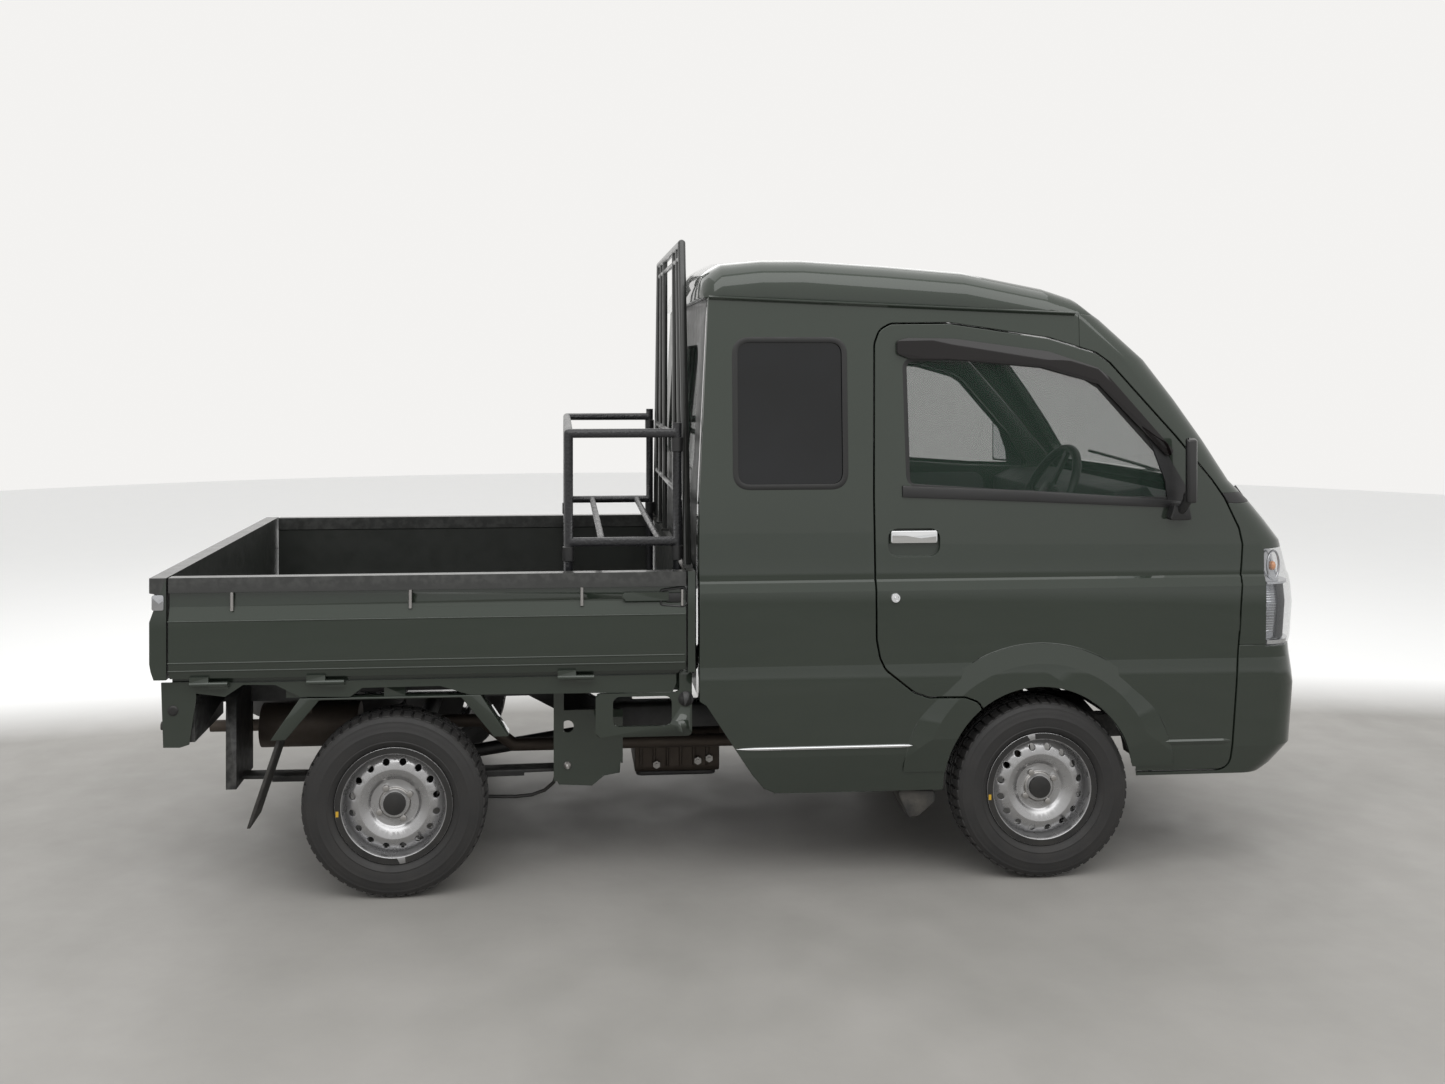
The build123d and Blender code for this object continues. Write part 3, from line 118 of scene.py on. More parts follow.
class Sheet:
    """Short way to write a shader node sheet."""

    def __init__(self, tree: bpy.types.NodeTree) -> None:
        """Take the tree to write in.

        Args:
            tree: shader node tree of a material or a group.
        """
        self.tree = tree

    def add(self, kind: str, **values: object) -> bpy.types.Node:
        """Add a node.

        Args:
            kind: node type name after ShaderNode.
            values: attributes, or sockets by their name with spaces as underscores.

        Returns:
            The new node.
        """
        node = self.tree.nodes.new("ShaderNode" + kind)
        for key, value in values.items():
            if hasattr(node, key):
                setattr(node, key, value)
            else:
                node.inputs[key.replace("_", " ")].default_value = value
        return node

    def link(self, source: bpy.types.NodeSocket, target: bpy.types.NodeSocket) -> None:
        """Join an output to an input."""
        self.tree.links.new(source, target)

    def math(self, operation: str, a: object, b: object = 0.0, clamp: bool = False) -> bpy.types.NodeSocket:
        """Add a math node.

        Args:
            operation: name of the operation.
            a: first value or socket.
            b: second value or socket.
            clamp: keep the result between 0 and 1.

        Returns:
            The result's socket.
        """
        node = self.add("Math", operation=operation, use_clamp=clamp)
        for i, value in enumerate((a, b)):
            if isinstance(value, bpy.types.NodeSocket):
                self.link(value, node.inputs[i])
            else:
                node.inputs[i].default_value = value
        return node.outputs[0]

    def mix(self, share: object, a: object, b: object) -> bpy.types.NodeSocket:
        """Mix two colours.

        Args:
            share: how much of b, a value or a socket.
            a: first colour or socket.
            b: second colour or socket.

        Returns:
            The mixed colour's socket.
        """
        node = self.add("Mix", data_type="RGBA")
        for i, value in ((0, share), (6, a), (7, b)):
            if isinstance(value, bpy.types.NodeSocket):
                self.link(value, node.inputs[i])
            else:
                node.inputs[i].default_value = value
        return node.outputs[2]

    def noise(self, scale: float, detail: float = 3.0, rough: float = 0.55) -> bpy.types.NodeSocket:
        """Add noise on object coordinates.

        Args:
            scale: size of the noise.
            detail: its octaves.
            rough: how rough the octaves are.

        Returns:
            The noise value's socket.
        """
        place = self.add("TexCoord")
        node = self.add("TexNoise", Scale=scale, Detail=detail, Roughness=rough)
        self.link(place.outputs["Object"], node.inputs["Vector"])
        return node.outputs["Fac"]

    def range(self, value: bpy.types.NodeSocket, low: float, high: float, to_low: float = 0.0,
              to_high: float = 1.0) -> bpy.types.NodeSocket:
        """Map a value from one range to another, clamped.

        Args:
            value: socket to map.
            low: value that becomes to_low.
            high: value that becomes to_high.
            to_low: result at low.
            to_high: result at high.

        Returns:
            The mapped value's socket.
        """
        node = self.add("MapRange", clamp=True)
        self.link(value, node.inputs["Value"])
        for key, number in (("From Min", low), ("From Max", high), ("To Min", to_low), ("To Max", to_high)):
            node.inputs[key].default_value = number
        return node.outputs["Result"]


def shader_group(name: str, inputs: Sequence[tuple[str, str, object]], outputs: Sequence[tuple[str, str]],
                 write: Callable[[Sheet, bpy.types.Node, bpy.types.Node], None]) -> bpy.types.NodeTree:
    """Build a shader node group once.

    Args:
        name: the group's name.
        inputs: name, socket type and default of each input.
        outputs: name and socket type of each output.
        write: function that fills the group, given the sheet, its input node and its output node.

    Returns:
        The group.
    """
    tree = bpy.data.node_groups.get(name)
    if tree is not None:
        return tree
    tree = bpy.data.node_groups.new(name, "ShaderNodeTree")
    for label, kind, default in inputs:
        socket = tree.interface.new_socket(label, in_out="INPUT", socket_type=kind)
        socket.default_value = default
    for label, kind in outputs:
        tree.interface.new_socket(label, in_out="OUTPUT", socket_type=kind)
    sheet = Sheet(tree)
    write(sheet, tree.nodes.new("NodeGroupInput"), tree.nodes.new("NodeGroupOutput"))
    return tree


def write_tint(sheet: Sheet, given: bpy.types.Node, made: bpy.types.Node) -> None:
    """Fill the group that varies a colour by broad clouds and fine flakes."""
    cloud = sheet.range(sheet.noise(3.5), 0.3, 0.7, 0.0, 1.0)
    flake = sheet.range(sheet.noise(900.0, 1.0), 0.45, 0.75, 0.0, 1.0)
    spread = sheet.math("MULTIPLY", cloud, given.outputs["Clouds"])
    first = sheet.mix(spread, given.outputs["Color"], given.outputs["Other"])
    fine = sheet.math("MULTIPLY", flake, given.outputs["Flakes"])
    sheet.link(sheet.mix(fine, first, given.outputs["Other"]), made.inputs["Color"])


def write_dust(sheet: Sheet, given: bpy.types.Node, made: bpy.types.Node) -> None:
    """Fill the group whose mask is dust that settles low down and on what faces up."""
    place = sheet.add("TexCoord")
    split = sheet.add("SeparateXYZ")
    sheet.link(place.outputs["Object"], split.inputs[0])
    low = sheet.range(split.outputs["Z"], 0.75, 0.05)
    facing = sheet.add("SeparateXYZ")
    sheet.link(sheet.add("NewGeometry").outputs["Normal"], facing.inputs[0])
    up = sheet.range(facing.outputs["Z"], 0.3, 1.0, 0.0, 0.5)
    patch = sheet.range(sheet.noise(14.0, 5.0, 0.65), 0.35, 0.75)
    total = sheet.math("MULTIPLY", sheet.math("ADD", low, up, True), patch)
    sheet.link(sheet.math("MULTIPLY", total, given.outputs["Amount"], True), made.inputs["Mask"])


def write_wear(sheet: Sheet, given: bpy.types.Node, made: bpy.types.Node) -> None:
    """Fill the group whose mask is rubbed edges."""
    edge = sheet.range(sheet.add("NewGeometry").outputs["Pointiness"], 0.53, 0.62)
    patch = sheet.range(sheet.noise(45.0, 4.0), 0.42, 0.62)
    worn = sheet.math("MULTIPLY", edge, patch)
    sheet.link(sheet.math("MULTIPLY", worn, given.outputs["Amount"], True), made.inputs["Mask"])


def write_grain(sheet: Sheet, given: bpy.types.Node, made: bpy.types.Node) -> None:
    """Fill the group whose height is a moulded or cast grain."""
    place = sheet.add("TexCoord")
    cells = sheet.add("TexVoronoi", feature="SMOOTH_F1")
    sheet.link(place.outputs["Object"], cells.inputs["Vector"])
    sheet.link(given.outputs["Scale"], cells.inputs["Scale"])
    noise = sheet.add("TexNoise", Detail=3.0)
    sheet.link(place.outputs["Object"], noise.inputs["Vector"])
    sheet.link(given.outputs["Scale"], noise.inputs["Scale"])
    sheet.link(sheet.math("ADD", cells.outputs["Distance"], noise.outputs["Fac"]), made.inputs["Height"])


COLOR, FLOAT = "NodeSocketColor", "NodeSocketFloat"
GREY = (0.5, 0.5, 0.5, 1.0)


# effect: inputs, output, and the function that fills its group
EFFECTS = {
    "tint": ([("Color", COLOR, GREY), ("Other", COLOR, GREY), ("Clouds", FLOAT, 0.5), ("Flakes", FLOAT, 0.3)],
             ("Color", COLOR), write_tint),
    "dust": ([("Amount", FLOAT, 0.3)], ("Mask", FLOAT), write_dust),
    "wear": ([("Amount", FLOAT, 0.3)], ("Mask", FLOAT), write_wear),
    "grain": ([("Scale", FLOAT, 500.0)], ("Height", FLOAT), write_grain),
}


def place_effect(sheet: Sheet, effect: str, **values: object) -> bpy.types.Node:
    """Place the group of a shared effect with its own values.

    Args:
        sheet: the material's sheet.
        effect: its name in EFFECTS.
        values: the group's inputs by name.

    Returns:
        The group's node.
    """
    inputs, output, write = EFFECTS[effect]
    node = sheet.tree.nodes.new("ShaderNodeGroup")
    node.node_tree = shader_group("finish_" + effect, inputs, [output], write)
    for key, value in values.items():
        node.inputs[key].default_value = value
    return node


def look(name: str, write: Callable[[Sheet, bpy.types.Node], None]) -> bpy.types.Material:
    """Build a material once.

    Args:
        name: the finish's name.
        write: function that writes the material, given its sheet and its Principled shader.

    Returns:
        The material.
    """
    known = bpy.data.materials.get("look_" + name)
    if known is not None:
        return known
    material = bpy.data.materials.new("look_" + name)
    material.use_nodes = True
    write(Sheet(material.node_tree), material.node_tree.nodes["Principled BSDF"])
    return material


# Finishes

@dataclass(frozen=True)
class Finish:
    """One procedural finish: a varied colour, dust, worn edges and grain under one Principled shader."""

    name: str
    color: Point
    other: Point
    roughness: float
    metallic: float = 0.0
    clouds: float = 0.5
    flakes: float = 0.3
    dust: float = 0.2
    dust_color: Point = (0.16, 0.145, 0.12)
    wear: float = 0.2
    wear_color: Point = (0.22, 0.22, 0.21)
    grain_scale: float = 600.0
    grain_depth: float = 0.0
    rough_spread: float = 0.06
    coat: float = 0.0
    coat_roughness: float = 0.04
    ior: float = 1.5
    sheen: float = 0.0

    def build(self) -> bpy.types.Material:
        """Give the material, built once."""
        return look(self.name, self.write)

    def write(self, sheet: Sheet, shader: bpy.types.Node) -> None:
        """Write the material's nodes."""
        for key, value in (("Metallic", self.metallic), ("Coat Weight", self.coat), ("IOR", self.ior),
                           ("Coat Roughness", self.coat_roughness), ("Sheen Weight", self.sheen)):
            shader.inputs[key].default_value = value
        tint = place_effect(sheet, "tint", Color=(*self.color, 1), Other=(*self.other, 1),
                            Clouds=self.clouds, Flakes=self.flakes)
        dust = place_effect(sheet, "dust", Amount=self.dust)
        wear = place_effect(sheet, "wear", Amount=self.wear)
        worn = sheet.mix(wear.outputs["Mask"], tint.outputs["Color"], (*self.wear_color, 1))
        dusty = sheet.mix(dust.outputs["Mask"], worn, (*self.dust_color, 1))
        sheet.link(dusty, shader.inputs["Base Color"])
        spread = sheet.range(sheet.noise(22.0), 0.3, 0.7, self.roughness - self.rough_spread,
                             self.roughness + self.rough_spread)
        rough = sheet.math("ADD", spread, sheet.math("MULTIPLY", dust.outputs["Mask"], 0.35), True)
        sheet.link(rough, shader.inputs["Roughness"])
        if self.grain_depth > 0:
            bump = sheet.add("Bump", Distance=0.001, Strength=self.grain_depth)
            sheet.link(self.height(sheet), bump.inputs["Height"])
            sheet.link(bump.outputs["Normal"], shader.inputs["Normal"])

    def height(self, sheet: Sheet) -> bpy.types.NodeSocket:
        """Give the height that the bump reads."""
        return place_effect(sheet, "grain", Scale=self.grain_scale).outputs["Height"]


@dataclass(frozen=True)
class Weave(Finish):
    """Woven fabric: two crossed sets of threads."""

    thread: float = 1400.0

    def height(self, sheet: Sheet) -> bpy.types.NodeSocket:
        """Give the height of the crossed threads."""
        place = sheet.add("TexCoord")
        heights = []
        for turn in ((0.0, 0.0, 0.8), (0.8, 0.0, 0.0)):
            wave = sheet.add("TexWave", Scale=self.thread / math.tau, Distortion=0.4, Detail=1.0)
            turned = sheet.add("Mapping", Rotation=turn)
            sheet.link(place.outputs["Object"], turned.inputs["Vector"])
            sheet.link(turned.outputs["Vector"], wave.inputs["Vector"])
            heights.append(wave.outputs["Fac"])
        return sheet.math("MULTIPLY", heights[0], heights[1])


@dataclass(frozen=True)
class Glazing:
    """Clear, tinted or smoked glass or lens."""

    name: str
    color: Point
    roughness: float = 0.01
    solid: float = 0.5
    shade: float = 0.1
    ior: float = 1.45

    def build(self) -> bpy.types.Material:
        """Give the material, built once."""
        return look(self.name, self.write)

    def write(self, sheet: Sheet, shader: bpy.types.Node) -> None:
        """Write the material's nodes."""
        shader.inputs["IOR"].default_value = self.ior
        tint = place_effect(sheet, "tint", Color=(*self.color, 1),
                            Other=(*(c * 0.9 for c in self.color), 1), Clouds=0.5, Flakes=0.0)
        sheet.link(tint.outputs["Color"], shader.inputs["Base Color"])
        rough = sheet.range(sheet.noise(6.0), 0.3, 0.7, self.roughness, self.roughness + 0.015)
        sheet.link(rough, shader.inputs["Roughness"])
        path = sheet.add("LightPath")
        alpha = sheet.range(path.outputs["Is Shadow Ray"], 0.0, 1.0, self.solid, self.shade)
        sheet.link(alpha, shader.inputs["Alpha"])


PAINT = Finish("olive_paint", (0.026, 0.034, 0.026), (0.038, 0.048, 0.038), 0.34, metallic=0.2, clouds=0.15,
               flakes=0.35, dust=0.02, wear=0.0, coat=1.0, coat_roughness=0.012, rough_spread=0.03, ior=1.2)
# Darker copy of the olive paint: its dark colour is painted shade, on the inside of the bed and the back of
# the cab. Its dust and rubbed edges are real wear.
SHADED_BED_PAINT = Finish("bed_paint_shaded", (0.012, 0.014, 0.012), (0.020, 0.022, 0.019), 0.42, metallic=0.1, dust=0.25,
                   wear=0.35, wear_color=(0.10, 0.10, 0.095), coat=0.3, coat_roughness=0.12)
RAIL = Finish("rail_paint", (0.020, 0.021, 0.020), (0.030, 0.031, 0.029), 0.36, metallic=0.2, dust=0.1,
              wear=0.1, coat=0.5, coat_roughness=0.08)
CHASSIS = Finish("chassis_black", (0.008, 0.0085, 0.009), (0.016, 0.016, 0.016), 0.48, dust=0.12, wear=0.2,
                 grain_scale=350.0, grain_depth=0.12)
STEEL = Finish("bare_steel", (0.42, 0.41, 0.40), (0.30, 0.29, 0.28), 0.36, metallic=1.0, dust=0.2,
               wear=0.1, grain_scale=800.0, grain_depth=0.08)
CHROME = Finish("chrome", (0.78, 0.79, 0.80), (0.72, 0.73, 0.75), 0.06, metallic=1.0, dust=0.03, wear=0.0,
                rough_spread=0.02)
CAST = Finish("cast_metal", (0.085, 0.068, 0.055), (0.045, 0.036, 0.030), 0.55, metallic=0.6, dust=0.25,
              dust_color=(0.07, 0.06, 0.05), grain_scale=420.0, grain_depth=0.5)
WHEEL = Finish("wheel_silver", (0.40, 0.40, 0.405), (0.32, 0.32, 0.325), 0.28, metallic=0.85, clouds=0.3,
               flakes=0.5, dust=0.08, wear=0.1, wear_color=(0.75, 0.75, 0.74))
TYRE = Finish("tyre_rubber", (0.014, 0.014, 0.0145), (0.024, 0.023, 0.022), 0.60, dust=0.2,
              dust_color=(0.055, 0.048, 0.042), wear=0.15, wear_color=(0.05, 0.047, 0.044),
              grain_scale=900.0, grain_depth=0.2)
PLASTIC = Finish("black_plastic", (0.010, 0.010, 0.0105), (0.016, 0.016, 0.016), 0.38, dust=0.12, wear=0.1,
                 wear_color=(0.05, 0.05, 0.05), grain_scale=700.0, grain_depth=0.15)
GASKET = Finish("gasket_rubber", (0.006, 0.006, 0.006), (0.011, 0.011, 0.011), 0.50, dust=0.15, wear=0.0)
INTERIOR = Finish("interior_grey", (0.055, 0.055, 0.057), (0.075, 0.075, 0.076), 0.60, dust=0.0, wear=0.1,
                  grain_scale=520.0, grain_depth=0.3)
DASH = Finish("dash_grey", (0.030, 0.030, 0.032), (0.042, 0.042, 0.043), 0.62, dust=0.0, wear=0.1,
              grain_scale=520.0, grain_depth=0.3)
FABRIC = Weave("seat_fabric", (0.10, 0.10, 0.105), (0.15, 0.15, 0.155), 0.85, dust=0.0, wear=0.0, clouds=0.3,
               flakes=0.8, grain_depth=0.6, sheen=0.3)
MUD = Finish("mud_rubber", (0.014, 0.014, 0.014), (0.024, 0.023, 0.022), 0.70, dust=0.5, grain_scale=300.0,
             grain_depth=0.3)
TAPE = Finish("tape_black", (0.010, 0.0105, 0.012), (0.020, 0.020, 0.022), 0.30, dust=0.05, wear=0.15,
              wear_color=(0.06, 0.06, 0.06), grain_scale=140.0, grain_depth=0.9, rough_spread=0.12)
REFLECTOR = Finish("lamp_reflector", (0.50, 0.51, 0.53), (0.40, 0.41, 0.43), 0.12, metallic=0.9, dust=0.0,
                   wear=0.0)
AMBER = Finish("amber_bulb", (0.75, 0.30, 0.10), (0.60, 0.24, 0.08), 0.15, dust=0.0, wear=0.0, coat=0.6)
YELLOW = Finish("yellow_mark", (0.60, 0.36, 0.02), (0.50, 0.30, 0.02), 0.5, dust=0.1, wear=0.0)
GLASS = Glazing("glass_clear", (0.012, 0.030, 0.019), solid=0.30, shade=0.20)
# Opaque near-black glass: partly the glass's own tint, partly the shade of the cab behind it painted in, as
# nothing shows through.
DARK_GLASS = Finish("glass_dark", (0.003, 0.0035, 0.004), (0.009, 0.010, 0.012), 0.02, dust=0.0, wear=0.0,
                    rough_spread=0.008, ior=1.45)
SMOKE = Finish("smoke_plastic", (0.005, 0.004, 0.004), (0.008, 0.006, 0.006), 0.05, dust=0.0, wear=0.0,
               rough_spread=0.02, ior=1.42)
LENS = Glazing("lamp_clear", (0.30, 0.31, 0.32), solid=0.22, shade=0.05)
LENS_RED = Finish("lamp_red", (0.30, 0.012, 0.010), (0.22, 0.010, 0.010), 0.12, dust=0.1, wear=0.0, coat=0.6)


# Mesh work

def link(name: str, mesh: bpy.types.Mesh, material: bpy.types.Material) -> bpy.types.Object:
    """Make an object of a mesh.

    Args:
        name: the object's name.
        mesh: its mesh, in place in the frame.
        material: its finish.

    Returns:
        The object, linked to the scene.
    """
    made = bpy.data.objects.new(name, mesh)
    mesh.materials.clear()
    mesh.materials.append(material)
    bpy.context.scene.collection.objects.link(made)
    return made


def smooth(mesh: bpy.types.Mesh, angle: float = 32.0) -> None:
    """Shade a mesh smooth, sharp past an angle in degrees."""
    mesh.shade_smooth()
    mesh.set_sharp_from_angle(angle=math.radians(angle))


def to_mesh(form: bmesh.types.BMesh, name: str, angle: float) -> bpy.types.Mesh:
    """Turn a form into a shaded mesh and free it."""
    mesh = bpy.data.meshes.new(name)
    form.to_mesh(mesh)
    form.free()
    smooth(mesh, angle)
    return mesh


def place_piece(name: str, mesh: bpy.types.Mesh, finish: "Finish | Glazing", body: str,
                replaces: Sequence[str] = ()) -> bpy.types.Object:
    """Place a finished piece in the frame.

    Args:
        name: the piece's name.
        mesh: its mesh.
        finish: what it is finished in.
        body: frame body that it rides on.
        replaces: frame nodes that it stands for.

    Returns:
        The piece's object.
    """
    made = link(name, mesh, finish.build())
    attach(made, body)
    if replaces:
        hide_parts(*replaces)
    return made


def bevel_sharp(form: bmesh.types.BMesh, width: float, angle: float = 28.0, segments: int = 2) -> None:
    """Round the edges of a form that turn by more than an angle.

    Args:
        form: the form to change.
        width: width of the rounding in metres.
        angle: least turn in degrees.
        segments: faces across the rounding.
    """
    limit = math.radians(angle)
    edges = [e for e in form.edges if len(e.link_faces) == 2 and e.calc_face_angle(0.0) > limit]
    if edges:
        bmesh.ops.bevel(form, geom=edges, offset=width, segments=segments, profile=0.5, affect="EDGES",
                        clamp_overlap=False)


def join_rings(part: bmesh.types.BMesh, rings: Sequence[Sequence[bmesh.types.BMVert]],
               closed: bool = False) -> None:
    """Join rings of points into a closed skin.

    Args:
        part: the form that holds the points.
        rings: rings of as many points each.
        closed: join the last ring to the first, and otherwise close both ends.
    """
    if not closed:
        part.faces.new(rings[0])
        part.faces.new(rings[-1])
    count = len(rings[0])
    for low, high in zip(rings, list(rings[1:]) + ([rings[0]] if closed else [])):
        for j in range(count):
            k = (j + 1) % count
            part.faces.new((low[j], low[k], high[k], high[j]))
    bmesh.ops.recalc_face_normals(part, faces=part.faces)


class Shape:
    """Mesh of one piece while it is made."""

    def __init__(self) -> None:
        """Start with an empty form."""
        self.form = bmesh.new()

    def box(self, lo: Point, hi: Point, bevel: float = 0.0) -> "Shape":
        """Add a box between two corners.

        Args:
            lo: lowest corner.
            hi: highest corner.
            bevel: rounding of its edges.

        Returns:
            This shape.
        """
        x0, y0, z0 = (min(a, b) for a, b in zip(lo, hi))
        x1, y1, z1 = (max(a, b) for a, b in zip(lo, hi))
        return self.prism([(x0, z0), (x1, z0), (x1, z1), (x0, z1)], Turn.Y, y0, y1, bevel)

    def prism(self, outline: Outline, along: Turn, start: float, end: float, bevel: float = 0.0,
              segments: int = 2) -> "Shape":
        """Add an outline carried along an axis.

        Args:
            outline: points across the axis, as (y, z), (x, z) or (x, y).
            along: the axis.
            start: its first place on the axis.
            end: its last place on the axis.
            bevel: rounding of its edges.
            segments: faces across the rounding.

        Returns:
            This shape.
        """
        part = bmesh.new()
        spot = {Turn.X: lambda a, b, t: (t, a, b), Turn.Y: lambda a, b, t: (a, t, b),
                Turn.Z: lambda a, b, t: (a, b, t)}[along]
        join_rings(part, [[part.verts.new(spot(a, b, t)) for a, b in outline] for t in (start, end)])
        if bevel > 0:
            bevel_sharp(part, bevel, segments=segments)
        return self.take(part)

    def tube(self, points: Sequence[Point], radius: float, sides: int = 12, closed: bool = False) -> "Shape":
        """Add a round bar that follows points.

        Args:
            points: centres of its rings.
            radius: radius of the bar.
            sides: faces round it.
            closed: join the last ring to the first.

        Returns:
            This shape.
        """
        ring = [(radius * math.cos(math.tau * i / sides), radius * math.sin(math.tau * i / sides))
                for i in range(sides)]
        return self.sweep(ring, points, closed)

    def sweep(self, section: Outline, points: Sequence[Point], closed: bool = False,
              up: Point | None = None) -> "Shape":
        """Add a section carried along points.

        Args:
            section: closed outline as (sideways, upwards) offsets.
            points: places of the section.
            closed: join the last place to the first.
            up: direction that stays the section's upwards, or None to carry it on smoothly.

        Returns:
            This shape.
        """
        part = bmesh.new()
        spots = [Vector(p) for p in points]
        count = len(spots)
        rings = []
        lift = Vector(up) if up is not None else None
        for i, spot in enumerate(spots):
            before = spots[i - 1] if i > 0 or closed else spot
            after = spots[(i + 1) % count] if i < count - 1 or closed else spot
            ahead = (after - before).normalized()
            if lift is None:
                lift = ahead.orthogonal()
            side = ahead.cross(lift).normalized()
            top = side.cross(ahead).normalized()
            if up is None:
                lift = top
            rings.append([part.verts.new(spot + side * a + top * b) for a, b in section])
        join_rings(part, rings, closed)
        return self.take(part)

    def lathe(self, profile: Outline, centre: Point, about: Turn = Turn.Y, steps: int = 48) -> "Shape":
        """Add a profile turned round an axis.

        Args:
            profile: points as (radius, distance along the axis); closed where it ends off the axis.
            centre: point on the axis where the distance is 0.
            about: the axis.
            steps: faces round the axis.

        Returns:
            This shape.
        """
        part = bmesh.new()
        axis = Vector(about.value)
        out = Vector((0, 0, 1)) if about is not Turn.Z else Vector((1, 0, 0))
        rings = []
        for r, h in profile:
            if r < MERGE:
                rings.append([part.verts.new(Vector(centre) + axis * h)])
                continue
            rings.append([part.verts.new(Vector(centre) + axis * h
                                         + Matrix.Rotation(math.tau * i / steps, 3, axis) @ (out * r))
                          for i in range(steps)])
        ends_open = len(rings[0]) > 1 and len(rings[-1]) > 1
        pairs = list(zip(rings, rings[1:])) + ([(rings[-1], rings[0])] if ends_open else [])
        for low, high in pairs:
            for i in range(steps):
                j = (i + 1) % steps
                corners = [low[i % len(low)], low[j % len(low)], high[j % len(high)], high[i % len(high)]]
                part.faces.new(list(dict.fromkeys(corners)))
        bmesh.ops.recalc_face_normals(part, faces=part.faces)
        return self.take(part)

    def take(self, part: bmesh.types.BMesh) -> "Shape":
        """Add another form and free it."""
        mesh = bpy.data.meshes.new("part")
        part.to_mesh(mesh)
        part.free()
        self.form.from_mesh(mesh)
        bpy.data.meshes.remove(mesh)
        return self

    def add_mesh(self, mesh: bpy.types.Mesh, place: Matrix | None = None) -> "Shape":
        """Add a mesh, placed by a matrix."""
        other = bmesh.new()
        other.from_mesh(mesh)
        if place is not None:
            bmesh.ops.transform(other, matrix=place, verts=other.verts)
        return self.take(other)

    def mesh(self, name: str, side: int = RIGHT, angle: float = 32.0) -> bpy.types.Mesh:
        """Give the mesh, mirrored where it is for the left side.

        Args:
            name: the mesh's name.
            side: RIGHT or LEFT.
            angle: edges past this many degrees stay sharp.

        Returns:
            The mesh.
        """
        form = self.form.copy()
        if side == LEFT:
            for vertex in form.verts:
                vertex.co.y = -vertex.co.y
            bmesh.ops.reverse_faces(form, faces=form.faces)
        return to_mesh(form, name, angle)

    def piece(self, name: str, finish: Finish | Glazing, body: str, slot: Slot, side: int = RIGHT,
              angle: float = 32.0, replaces: Sequence[str] = ()) -> bpy.types.Object:
        """Finish the piece.

        Args:
            name: the piece's name.
            finish: what it is finished in.
            body: frame body that it rides on.
            slot: record slot of its finish; not used.
            side: RIGHT or LEFT.
            angle: edges past this many degrees stay sharp.
            replaces: frame nodes that it stands for.

        Returns:
            The piece's object.
        """
        return place_piece(name, self.mesh(name, side, angle), finish, body, replaces)

    def pair(self, name: str, finish: Finish | Glazing, body: str, slot: Slot, angle: float = 32.0) -> None:
        """Finish the piece on both sides; a body name with {} rides on each side's own body."""
        for side, label in SIDE_NAMES.items():
            self.piece(f"{name}_{label}", finish, body.format(label), slot, side, angle)


def merged(node: str, flat: bool = True) -> bmesh.types.BMesh:
    """Give a frame node's mesh with its doubles merged.

    Args:
        node: name of the frame node.
        flat: join the triangles of flat faces.

    Returns:
        The form.
    """
    form = bmesh.new()
    form.from_mesh(frame["nodes"][node].data)
    bmesh.ops.remove_doubles(form, verts=form.verts, dist=MERGE)
    if flat:
        bmesh.ops.dissolve_limit(form, angle_limit=math.radians(0.4), verts=form.verts, edges=form.edges)
    return form


def dress(node: str, finish: Finish | Glazing, bevel: float = 0.0015,
          angle: float = 32.0) -> bpy.types.Object:
    """Give a frame node rounded edges and its finish.

    Args:
        node: name of the frame node.
        finish: what it is finished in.
        bevel: width of the edge rounding, 0 for none.
        angle: edges past this many degrees stay sharp.

    Returns:
        The dressed piece, which stands for the node.
    """
    form = merged(node)
    if bevel > 0:
        bevel_sharp(form, bevel)
    name = node + "_dressed"
    body = frame["nodes"][node]["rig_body"]
    return place_piece(name, to_mesh(form, name, angle), finish, body, (node,))


Rule = tuple[str, "Finish | Glazing", Slot, Callable[[Vector], bool]]


def dress_parts(node: str, rules: Sequence[Rule], bevel: float = 0.0015, angle: float = 32.0) -> None:
    """Give a frame node rounded edges and split it into pieces of their own finishes.

    Args:
        node: name of the frame node.
        rules: name ending, finish, slot and a test of a face's middle; the first test that holds counts.
        bevel: width of the edge rounding, 0 for none.
        angle: edges past this many degrees stay sharp.
    """
    whole = merged(node, bevel > 0)
    if bevel > 0:
        bevel_sharp(whole, bevel)
    owners = [next(i for i, rule in enumerate(rules) if rule[3](face.calc_center_median()))
              for face in whole.faces]
    for i, (ending, finish, slot, _) in enumerate(rules):
        form = whole.copy()
        others = [face for face, owner in zip(form.faces, owners) if owner != i]
        bmesh.ops.delete(form, geom=others, context="FACES")
        if not form.faces:
            continue
        name = f"{node}_{ending}"
        place_piece(name, to_mesh(form, name, angle), finish, frame["nodes"][node]["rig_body"], (node,))
    whole.free()


def rest(place: Vector) -> bool:
    """Hold for every face, as the last rule's test."""
    return True


def rounded(outline: Outline, radius: float, steps: int = 4) -> list[tuple[float, float]]:
    """Round the corners of a closed outline.

    Args:
        outline: its corners.
        radius: radius of the corners, less where an edge is short.
        steps: lines in each corner.

    Returns:
        The outline's points.
    """
    found = []
    count = len(outline)
    for i in range(count):
        at = Vector(outline[i])
        before, after = Vector(outline[i - 1]) - at, Vector(outline[(i + 1) % count]) - at
        half = before.angle(after) / 2
        reach = min(radius / math.tan(half), 0.45 * before.length, 0.45 * after.length)
        start, end = at + before.normalized() * reach, at + after.normalized() * reach
        for k in range(steps + 1):
            t = k / steps
            spot = start * (1 - t) ** 2 + at * (2 * t * (1 - t)) + end * t ** 2
            found.append((spot.x, spot.y))
    return found


# Geometry Nodes

